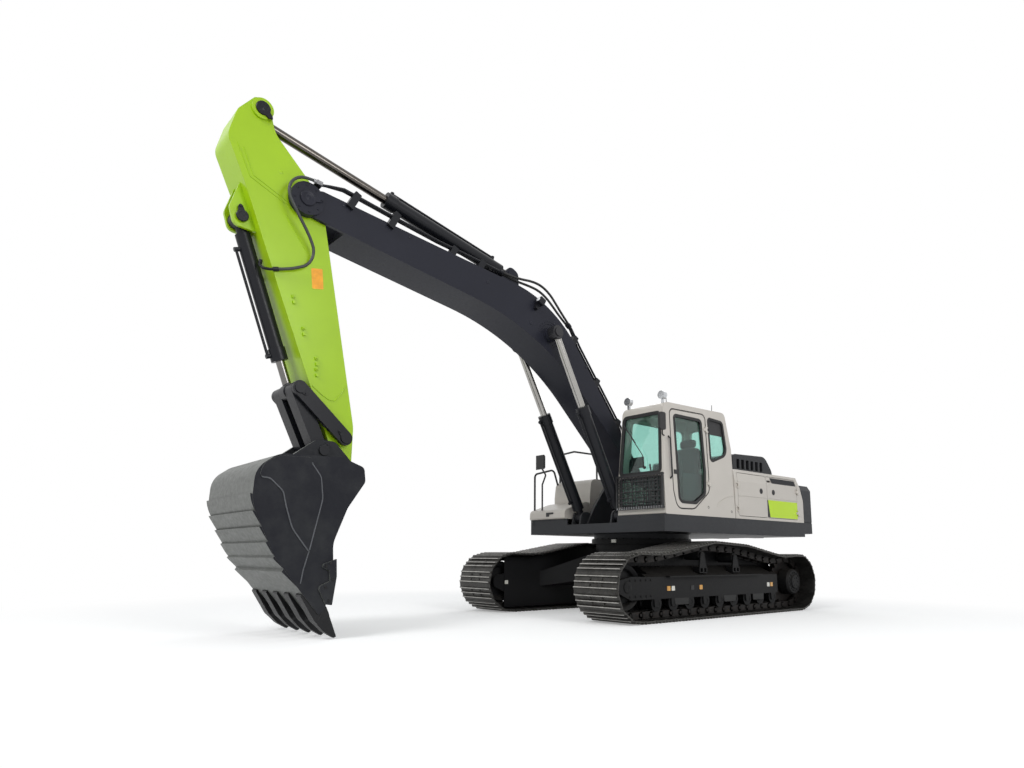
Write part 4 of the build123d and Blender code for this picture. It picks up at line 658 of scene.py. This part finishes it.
def make_pin_caps():
    arm_caps = Shape()
    pin_cap(arm_caps, arm_rod_pin, 258, 80, 150, -35, arm_side)
    pin_cap(arm_caps, bucket_barrel_pin, 132, 66, 130, 175, arm_side)
    arm_caps.mirrored().build("arm_pin_caps", "arm", "dark_paint", "barrel", 2.0)
    boom_caps = Shape()
    pin_cap(boom_caps, (boom_length, 0), 333, 92, 188, 145, boom_side)
    boom_caps.bolt_circle((boom_length, 0), 334, 160, 8, 12, 9, boom_side, 10)
    boom_caps.mirrored().build("boom_nose_caps", "boom", "slate_paint", "slate", 2.0)


def make_bucket_sides():
    """Doubler plates on the bucket's sides, and the welds along them and below."""
    doubler = rounded([(560, 96, 20), (546, 30, 60), (441, -102, 120), (412, -335, 200), (530, -870, 0),
                       (545, -880, 0), (728, -654, 300), (802, -432, 150), (842, -277, 100), (985, -152, 80),
                       (1095, -150, 40), (1050, 10, 160), (880, 90, 60)])
    plates = Shape().prism(doubler, bucket_half - 2, bucket_half + 9, bucket_side)
    plates.mirrored().build("bucket_side_doublers", "bucket", "bucket_steel", "bucket", 3.0)
    free_edge = [p for p in doubler if p.x < 550 or p.y < -140]
    welds = Shape().tube([bucket_side(p.x, bucket_half + 6, p.y) for p in free_edge], 8)
    welds.tube([bucket_side(u, bucket_half + 1, w) for u, w in ((531, -880), (585, -1080), (606, -1215))], 7)
    welds.mirrored().build("bucket_side_welds", "bucket", "bucket_steel", "weld")


def make_bucket_front():
    """Each tooth's pin with the seams of its adapter, and the side cutters' bolts."""
    pins = Shape()
    for y in range(-640, 641, 320):
        pins.rod(bucket_side(468, y - 71, -1395), bucket_side(468, y + 71, -1395), 17, 16, 3)
        for edge in (y - 68, y + 68):
            pins.tube([bucket_side(u, edge, w) for u, w in ((300, -1475), (345, -1500), (395, -1600))], 5, 6)
    pins.build("bucket_tooth_pins", "bucket", "bucket_steel", "teeth")
    bolts = Shape()
    for u, w in ((300, -1010), (345, -1040), (265, -1180), (345, -1260), (300, -1400)):
        bolts.bolt(bucket_side(u, 746, w), to_left, 13, 8)
    bolts.mirrored().build("bucket_cutter_bolts", "bucket", "bucket_steel", "teeth")


def make_arm_pieces():
    """Weld lines, the bosses that clips sit on, a plug and the blank label of the arm."""
    seams = Shape()
    for line in (
        ((-560, 700), (-193, 609), (136, 134)),
        ((-520, 640), (-215, 570), (95, 120)),
        ((200, 249), (601, 62)),
        ((2183, 202), (2298, 94), (2357, 17), (2374, -47), (2305, -130), (2192, -222)),
    ):
        seams.tube([arm_side(u, arm_half + 2, w) for u, w in line], 6)
    seams.mirrored().build("arm_side_welds", "arm", "lime_paint", "lime")
    bosses = Shape()
    for u, w in ((1187, 288), (1555, 218), (1903, 108), (2032, 125)):
        for middle in (u - 34, u + 34):
            outline = rectangle(middle - 20, middle + 20, w - 18, w + 18, 8)
            bosses.prism(outline, arm_half, arm_half + 24, arm_side)
        bosses.bolt(arm_side(u - 34, arm_half + 24, w), to_left, 12, 9)
    bosses.lathe(arm_side(-307, arm_half, 242), to_left, [(22, 0), (22, 3), (15, 5), (5, 5)], 20)
    bosses.mirrored().build("arm_clip_bosses", "arm", "lime_paint", "lime", 2.0)
    outline = rounded([(800, -115, 12), (1045, -95, 12), (1045, 45, 12), (800, 25, 12)])
    label = Shape().prism(outline, arm_half, arm_half + 2.5, arm_side)
    label.build("arm_blank_label", "arm", "lime_paint", "orange")


def make_boom_pieces():
    """Plugs in the boom's sides, weld arcs round the cylinders' pin and the lamp's lens."""
    plugs = Shape()
    for u, w in ((3150, 917), (1921, 1019), (6196, 295), (5315, 603), (4055, 932)):
        plugs.lathe(boom_side(u, boom_half - 1, w), to_left, [(26, 0), (26, 5), (18, 8), (6, 8)], 20)
    u, w = boom_rod_pin
    for radius in (205, 165):
        arc = [(radius * math.cos(t), radius * math.sin(t)) for t in map(math.radians, range(-20, 225, 7))]
        plugs.tube([boom_side(u + a, boom_half + 1, w + b) for a, b in arc], 5, 6)
    plugs.mirrored().build("boom_side_plugs", "boom", "slate_paint", "slate")
    middle = boom_side(3246, 370, 1277)
    ahead = (boom_side(4246, 370, 1277) - middle).normalized()
    lens = Shape().lathe(middle - ahead * 2, ahead, [(34, 0), (34, 8), (28, 12), (10, 13)], 28)
    lens.build("boom_lamp_lens", "boom", "grey_paint", "lens")


# Hoses: (u, w, y) beside the boom or the arm, the same points as the solids' routes

bend_hose_routes = (
    ((3900, 1266, 264), (3740, 1330, 264), (3580, 1415, 266), (3420, 1520, 268), (3240, 1592, 268),
     (3040, 1590, 266), (2860, 1530, 264), (2690, 1470, 264), (2520, 1420, 264)),
    ((3900, 1266, 216), (3735, 1318, 216), (3570, 1385, 214), (3400, 1465, 212), (3225, 1530, 212),
     (3045, 1535, 214), (2870, 1495, 216), (2700, 1450, 216), (2520, 1420, 216)),
)
arm_hose_route = (
    (-195, -160, 365), (-219, -51, 370), (-229, 64, 375), (-180, 168, 380), (-93, 231, 385),
    (9, 246, 385), (108, 213, 385), (230, 165, 380), (365, 93, 360), (502, 29, 335), (610, 0, 318),
    (717, 29, 303), (796, 107, 295), (828, 212, 290), (850, 320, 275), (855, 430, 258),
)
arm_hose_bend = ((-163, -161, 365), (163, 161, 365))
hose_radius = 18.0


def row_points(route, place, hand):
    """A route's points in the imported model's frame, on the left (hand 1) or the right (hand -1)."""
    points = (to_row(place(u, y, w)) for u, w, y in route)
    return [Vector((x, hand * y, z)) for x, y, z in points]


def route_curve(points, radius=0.0):
    """A smooth curve with a route's points as its control points."""
    data = bpy.data.curves.new("route", "CURVE")
    data.dimensions = "3D"
    data.resolution_u = 6
    data.bevel_depth = radius / 1000
    data.bevel_resolution = 4
    data.use_fill_caps = True
    spline = data.splines.new("NURBS")
    spline.points.add(len(points) - 1)
    for place, point in zip(spline.points, points):
        place.co = (*point, 1.0)
    spline.order_u = 3
    spline.use_endpoint_u = True
    return data


def sampled(points):
    """Points along the smooth curve of a route, and its length."""
    curve = bpy.data.objects.new("route", route_curve(points))
    mesh = bpy.data.meshes.new_from_object(curve)
    line = [vertex.co.copy() for vertex in mesh.vertices]
    bpy.data.objects.remove(curve)
    bpy.data.meshes.remove(mesh)
    return line, sum((b - a).length for a, b in zip(line, line[1:]))


def make_boom_hoses():
    for number, route in enumerate(bend_hose_routes, 1):
        for hand_name, hand in (("left", 1), ("right", -1)):
            points = row_points(route, boom_side, hand)
            hose = placed(f"boom_hose_{number}_{hand_name}", route_curve(points, hose_radius))
            hose.data.materials.append(look["rubber"])
            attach(hose, "boom")
            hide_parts("boom_hoses")
            sampled(points)[1]


def make_arm_hoses():
    """The hoses that run between boom and arm, with the metal ends at their ports."""
    ends = [arm_side(u, y, w) for u, w, y in arm_hose_route[:2]]
    back = (ends[0] - ends[1]).normalized()
    collar = Shape().rod(ends[0] + back * 30, ends[0] - back * 45, 26, 6)
    collar.rod(ends[0] - back * 45, ends[0] - back * 80, 22, 20, 3)
    for hand_name, hand, end in (("left", 1, collar), ("right", -1, collar.image())):
        points = row_points(arm_hose_route, arm_side, hand)
        line, length = sampled(points)
        tube = Shape().tube([Vector(((p.x - shift_x) * 1000, p.y * 1000, p.z * 1000)) for p in line],
                            hose_radius, 12)
        hose = tube.build(f"arm_hose_{hand_name}", None, "hose_rubber", "hose", replaces=["arm_hoses"])
        start, finish = row_points(arm_hose_bend, arm_side, hand)
        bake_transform(hose)
        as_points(line)
        end.build(f"arm_hose_end_{hand_name}", "boom", "dark_paint", "metal", 1.0)


# Bodywork and cab

def make_side_patch():
    """The blank patch on the rear door and the dark line ahead of it."""
    patch = Shape().prism([(-1640, 1546), (-1585, 1838), (-2552, 1838), (-2552, 1546)],
                          house_side - 1, house_side + 3)
    patch.build("left_side_patch", "left_rear_door", "lime_paint", "patch")
    edge = Shape().prism([(-1640, 1546), (-1585, 1838), (-1572, 1838), (-1572, 1546)],
                         house_side - 1, house_side + 4)
    edge.build("left_side_patch_edge", "left_rear_door")


def make_side_grille():
    """The rear door's grille: a plate with five bars above the shoulder."""
    outline = rounded([(-1700, 2222, 12), (-2520, 2222, 12), (-2535, 2130, 12), (-1745, 2130, 12)])
    grille = Shape().loft([[Vector((p.x, house_wall(p.y) + out, p.y)) for p in outline] for out in (-2, 2.5)])
    for row in range(5):
        z = 2142 + row * 17
        front, rear = -1735 + row * 8, -2520 + row * 2
        grille.prism([(front, z), (rear, z), (rear + 2, z + 8), (front + 4, z + 8)],
                     house_wall(z) - 2, house_wall(z) + 8)
    grille.build("left_rear_grille", "left_rear_door", "dark_paint", "dark")


def make_skirts():
    """Bolted plates under the cab's front and the tool box."""
    skirts = Shape()
    for low, high in ((545, 1452), (-1452, -560)):
        skirts.box((house_front, low, 1296), (house_front + 26, high, 1494))
        for y in (low + 60, (low + high) / 2, high - 60):
            skirts.bolt((house_front + 25, y, 1470), to_front, 11, 6)
    skirts.build("front_skirts", "upper", "dark_paint", "dark", 3.0)
    outline = rounded([(-1025, 1605, 10), (-850, 1605, 10), (-850, 1578, 6), (-950, 1572, 6),
                       (-950, 1535, 10), (-1025, 1535, 10)])
    recess = Shape().loft([[Vector((x, p.x, p.y)) for p in outline] for x in (1234, 1242)])
    recess.build("tool_box_lamp_recess", "upper")


def make_front_guard():
    """The wire mesh over the lower screen and the studs of the step below it."""
    face = house_front + 35
    mesh = Shape()
    for step in range(1, 17):
        mesh.rod((face, 560 + step * 52, 1585), (face, 560 + step * 52, 2075), 5, 8)
    for step in range(1, 10):
        mesh.rod((face, 560, 1590 + step * 50), (face, 1435, 1590 + step * 50), 5, 8)
    mesh.build("front_guard_mesh", "upper")
    studs = Shape()
    for row in range(2):
        for step in range(19):
            foot = (1215, 572 + step * 47.5, 1582 + row * 20)
            studs.lathe(foot, to_front, [(8, 0), (8, 3), (5, 5), (2, 5)], 12)
    studs.build("front_step_studs", "upper", "black_plastic", "metal")


door_corners = [(950, 3060, 80), (80, 3080, 80), (80, 1880, 140), (480, 1600, 160), (880, 1590, 130),
                (950, 1850, 200)]
door_window = [(860, 2985, 60), (185, 2985, 60), (150, 2180, 30), (185, 1830, 90), (430, 1680, 90),
               (830, 1680, 90)]
rear_side_window = [(0, 3050, 60), (-400, 3030, 70), (-470, 2500, 160), (-10, 2340, 60)]
windscreen = [(600, 2100, 60), (1380, 2100, 60), (1350, 3000, 60), (655, 3000, 60)]
lower_screen = [(600, 1610, 40), (1390, 1610, 40), (1385, 2040, 40), (600, 2040, 40)]


def make_cab_seals():
    """Rubber round the windows and the door, and the dark top of the rear side window."""
    door_seal = Shape().band(door_window, 22, 26, -24, 4, on_cab_wall)
    door_seal.build("door_window_seal", "cab_door", "black_plastic", "rubber", 2.0)
    seals = Shape().band(rear_side_window, 16, 26, -24, 4, on_cab_wall)
    seals.band(windscreen, 26, 30, -24, 5, on_cab_front)
    seals.band(lower_screen, 14, 20, -24, 4, on_cab_front)
    seals.build("cab_window_seals", "upper", "black_plastic", "rubber", 2.0)
    surround = Shape().band(door_corners, 20, -9, -6, 3, on_cab_wall)
    surround.build("cab_door_gap_seal", "upper", "black_plastic", "rubber")
    outline = rounded([(-5, 3045, 50), (-395, 3025, 60), (-435, 2790, 20), (-8, 2790, 20)])
    blind = Shape().loft([[on_cab_wall(p.x, out, p.y) for p in outline] for out in (-20, -16)])
    blind.build("rear_side_window_blind", "upper")


def make_wiper():
    pivot, elbow = (1088, 2190), (727, 2809)
    wiper = Shape().tube([on_cab_front(y, 26, z) for y, z in (elbow, (1054, 2383), (1088, 2199))], 7)
    wiper.tube([on_cab_front(y, 14, z) for y, z in ((640, 2920), elbow, (905, 2577))], 9, 6)
    wiper.rod(on_cab_front(pivot[0], -2, pivot[1]), on_cab_front(pivot[0], 32, pivot[1]), 22, 16, 3)
    wiper.build("windscreen_wiper", "upper")


def cushion(name, low, high, power=0.35, lean=0.0):
    """A crowned, rounded cushion in a box, leaning back by a share of its height."""
    middle = [(a + b) / 2 for a, b in zip(low, high)]
    half = [(b - a) / 2 for a, b in zip(low, high)]

    def bent(value):
        return math.copysign(abs(value) ** power, value)

    rings = []
    for i in range(1, 18):
        tilt = math.pi * (i / 18 - 0.5)
        z = half[2] * bent(math.sin(tilt))
        ring = []
        for turn in (2 * math.pi * j / 32 for j in range(32)):
            x = half[0] * bent(math.cos(tilt)) * bent(math.cos(turn))
            y = half[1] * bent(math.cos(tilt)) * bent(math.sin(turn))
            ring.append(Vector((middle[0] + x - lean * z, middle[1] + y, middle[2] + z)))
        rings.append(ring)
    pad = Shape().loft(rings)
    pad.build(name, "upper", "seat_fabric", "seat", angle=80, replaces=["operator_seat"])


def make_interior():
    """The seat on its bellows, and the monitor."""
    middle = 1017.5
    cushion("seat_cushion", (90, middle - 248, 1975), (558, middle + 248, 2095))
    cushion("seat_back", (-10, middle - 240, 2090), (120, middle + 240, 2600), 0.4, 0.14)
    cushion("seat_headrest", (-45, middle - 140, 2600), (50, middle + 140, 2740), 0.5, 0.1)
    base = Shape().box((60, middle - 200, 1900), (470, middle + 200, 1975))
    for step in range(5):
        inset = 8 if step % 2 else 0
        half, low = 170 - inset, 1560 + step * 68
        base.box((70 + inset, middle - half, low), (430 - inset, middle + half, low + 68))
    base.build("seat_base", "upper", bevel=4.0, replaces=["operator_seat"])
    screen = Shape().box((900, 640, 2230), (930, 860, 2400)).rod((915, 640, 2240), (1040, 600, 2060), 12)
    screen.build("monitor", "upper", bevel=5.0)


def make_cab_fittings():
    """The door's handle, the grab rail ahead of it and two aerials on the roof."""
    wall = cab_wall(2120)
    handle = Shape().box((860, wall - 4, 2085), (930, wall + 14, 2150))
    handle.build("door_handle", "cab_door", bevel=5.0)
    bent = ((2, 2640), (38, 2600), (38, 2050), (2, 2010))
    rail = Shape().tube([on_cab_wall(1020, out, z) for out, z in bent], 13, 12)
    rail.build("cab_grab_rail", "upper")
    aerials = Shape().tube([(930, 1330, 3160), (935, 1332, 3330)], 5)
    aerials.tube([(-230, 1330, 3180), (-235, 1332, 3300)], 5)
    aerials.build("cab_aerials", "upper")


def make_latches():
    for door, x, z in (("front", -1385, 1974), ("rear", -1771, 1975)):
        latch = Shape().lathe((x, house_side - 1, z), to_left,
                              [(46, 0), (46, 5), (40, 8), (30, 8), (28, 4), (8, 4)], 32)
        latch.box((x - 30, house_side, z - 8), (x + 30, house_side + 9, z + 8))
        latch.build(f"left_{door}_latch", f"left_{door}_door")


def make_panel_creases():
    """The pressed line from the cab back over both doors, and two plugs in the panel."""
    rise = [(-110, 1660), (-180, 1720), (-290, 1780), (-430, 1825), (-590, 1850)]
    crease = Shape().tube([on_cab_wall(x, 1, z) for x, z in rise], 6, 6)
    crease.build("left_panel_crease", "upper", "grey_paint", "grey")
    for door, line in (("front", ((-700, 1858), (-1000, 1866), (-1555, 1866))),
                       ("rear", ((-1585, 1866), (-2550, 1866)))):
        crease = Shape().tube([(x, house_side + 1, z) for x, z in line], 6, 6)
        crease.build(f"left_{door}_crease", f"left_{door}_door", "grey_paint", "grey")
    plugs = Shape()
    for x, z in ((-500, 1590), (120, 1630)):
        plugs.lathe(on_cab_wall(x, -2, z), to_left, [(20, 0), (20, 3.5), (14, 4), (12, 1)], 20)
    plugs.build("left_panel_plugs", "upper")


# Undercarriage fittings

beam_face = 1500
drive_face = 1575
below = ("undercarriage", "undercarriage_paint")


def make_reflectors():
    """Small blank reflectors, and the blank plate ahead of the slew ring."""
    for key, places in (("amber", (1200, 445, -1500)), ("white", (1100, -1400)), ("black", (650,))):
        marks = Shape()
        for x in places:
            marks.prism(rectangle(x - 36, x + 36, 405, 470, 8), beam_face - 1, beam_face + 6)
        marks.mirrored().build(f"track_frame_{key}_reflectors", *below, key)
    mark = Shape().prism(rectangle(1965, 2030, 430, 490, 8), 1137, 1143)
    mark.mirrored().build("inner_reflectors", *below, "white")
    plate = Shape().box((806, 85, 1096), (833, 180, 1150))
    plate.build("slew_ring_blank_plate", *below, "white", 2.0)


def make_beam_fittings():
    """Bolts on the track frames and hubs, the idlers' covers and the guards over the rollers."""
    bolts = Shape()
    for x in (1580, 1680, 1790, 1900, 2010):
        for z in (345, 560):
            bolts.bolt((x, beam_face - 1, z), to_left, 15, 11)
    bolts.bolt_circle(sprocket, drive_face, 150, 15, 14, 12)
    bolts.bolt_circle(sprocket, drive_face + 24, 70, 6, 11, 9)
    bolts.bolt_circle(idler, beam_face - 1, 42, 6, 9, 8)
    bolts.mirrored().build("track_frame_bolts", *below, "under")
    hubs = Shape().lathe((idler[0], beam_face - 1, idler[1]), to_left,
                         [(78, 0), (78, 9), (70, 12), (26, 12), (24, 8)], 40)
    hubs.mirrored().build("idler_hub_covers", *below, "under")
    guards = Shape()
    for x in (900, -300, -1100):
        outline = rounded([(x - 150, 205, 20), (x + 150, 205, 20), (x + 165, 318, 10), (x - 165, 318, 10)])
        guards.prism(outline, beam_face - 14, beam_face - 2)
    guards.mirrored().build("roller_guards", *below, "guard", 2.0)


def make_track_frame_covers():
    """The sloped covers on the track frames, and dark sheets on their inner side as painted shade in the gaps
    inside the track loops.
    """
    section = [(1440, 636), (1215, 742), (1155, 742), (1155, 636)]
    covers = Shape().loft([[Vector((x, y, z)) for y, z in section] for x in (-1560, 1560)])
    # Dark sheets on the track frames' inner side: painted shade that fills the see-through gaps inside the
    # track loops.
    inner = [(-2040, 64), (2040, 64), (2040, 870), (1500, 850), (360, 1031), (-500, 991), (-1540, 830),
             (-2040, 868)]
    covers.prism(inner, 1142, 1150)
    covers.mirrored().build("track_frame_covers_and_shade_sheets", *below, "under")


def make_slew_ring_bolts():
    ring = Shape()
    for degrees in range(0, 360, 10):
        turn = math.radians(degrees)
        ring.bolt((812 * math.cos(turn), 812 * math.sin(turn), 1159), to_top, 12, 12)
    ring.build("slew_ring_bolts", *below, "under")


make_tracks()
make_bucket_sides()
make_bucket_front()
make_pin_caps()
make_arm_pieces()
make_boom_pieces()
make_boom_hoses()
make_arm_hoses()
make_side_patch()
make_side_grille()
make_skirts()
make_front_guard()
make_cab_seals()
make_wiper()
make_interior()
make_cab_fittings()
make_latches()
make_panel_creases()
make_reflectors()
make_beam_fittings()
make_track_frame_covers()
make_slew_ring_bolts()


# Camera, light and floor

def make_camera():
    """The camera at the photograph's place, solved from the picture's points."""
    width, height = 1024, 768
    focal, centre_u, centre_v = 693.655, 529.97, 450.45
    yaw, pitch_up, roll = (math.radians(v) for v in (229.315, 8.659, 0.282))
    data = bpy.data.cameras.new("camera")
    data.sensor_width = 36.0
    data.lens = focal / width * 36.0
    data.shift_x = (width / 2 - centre_u) / width
    data.shift_y = (centre_v - height / 2) / width
    data.clip_end = 200.0
    level = math.cos(pitch_up)
    ahead = Vector((math.cos(yaw) * level, math.sin(yaw) * level, math.sin(pitch_up)))
    right = Vector((math.sin(yaw), -math.cos(yaw), 0))
    up = right.cross(ahead)
    right, up = (math.cos(roll) * right + math.sin(roll) * up, math.cos(roll) * up - math.sin(roll) * right)
    turned = Matrix((right, up, -ahead)).transposed().to_4x4()
    scene.camera = placed("camera", data)
    scene.camera.matrix_world = Matrix.Translation((9.145 + shift_x, 7.743, 0.877)) @ turned


def area_light(name, place, target, size, power):
    """A large soft lamp that looks at a point."""
    data = bpy.data.lights.new(name, "AREA")
    data.shape = "DISK"
    data.size = size
    data.energy = power
    lamp = placed(name, data)
    lamp.location = place
    lamp.rotation_mode = "QUATERNION"
    lamp.rotation_quaternion = (Vector(target) - Vector(place)).to_track_quat("-Z", "Y")


def make_world():
    """Plain studio light: even ambient light, and white where it is looked at."""
    scene.world = bpy.data.worlds.new("studio")
    nodes = Nodes(scene.world)
    even = nodes.fill(nodes.tree.nodes["Background"], Color=(0.95, 0.98, 1.0, 1.0), Strength=0.48)
    white = nodes.new("ShaderNodeBackground", Color=(1.0, 1.0, 1.0, 1.0), Strength=1.0)
    mix = nodes.ordered("ShaderNodeMixShader", nodes.seen_directly(), even.outputs[0], white.outputs[0])
    nodes.fill(nodes.tree.nodes["World Output"], Surface=mix.outputs[0])


def make_floor():
    """A pale floor that looks white but keeps the shadow, and fades to plain white far away."""
    half = 60.0
    mesh = bpy.data.meshes.new("floor")
    corners = [(-half, -half, 0), (half, -half, 0), (half, half, 0), (-half, half, 0)]
    mesh.from_pydata(corners, [], [(0, 1, 2, 3)])
    skin = Surface("floor")
    skin.finish(Base_Color=(0.86, 0.86, 0.86, 1.0), Roughness=0.9, Specular_IOR_Level=0.1)
    lit, glow = skin.shader.outputs[0], skin.new("ShaderNodeEmission", Strength=0.27).outputs[0]
    near = skin.ordered("ShaderNodeAddShader", lit, glow).outputs[0]
    far = skin.new("ShaderNodeEmission").outputs[0]
    away = skin.ordered("ShaderNodeVectorMath", skin.place, operation="LENGTH").outputs["Value"]
    fade = skin.new("ShaderNodeMapRange", Value=away, From_Min=5.0, From_Max=9.0)
    fade.interpolation_type = "SMOOTHSTEP"
    seen = skin.ordered("ShaderNodeMixShader", fade.outputs["Result"], near, far).outputs[0]
    mix = skin.ordered("ShaderNodeMixShader", skin.seen_directly(), lit, seen)
    skin.fill(skin.tree.nodes["Material Output"], Surface=mix.outputs[0])
    mesh.materials.append(skin.material)
    placed("floor", mesh)


scene.view_settings.view_transform = "Standard"
make_camera()
make_world()
make_floor()
area_light("key_light", (14.0, 3.0, 12.0), (1.0, 0.0, 1.5), 6.0, 1050.0)
area_light("fill_light", (2.0, 14.0, 7.0), (0.0, 0.0, 1.5), 6.0, 600.0)
area_light("back_light", (-12.0, -8.0, 11.0), (0.0, 0.0, 1.0), 8.0, 450.0)
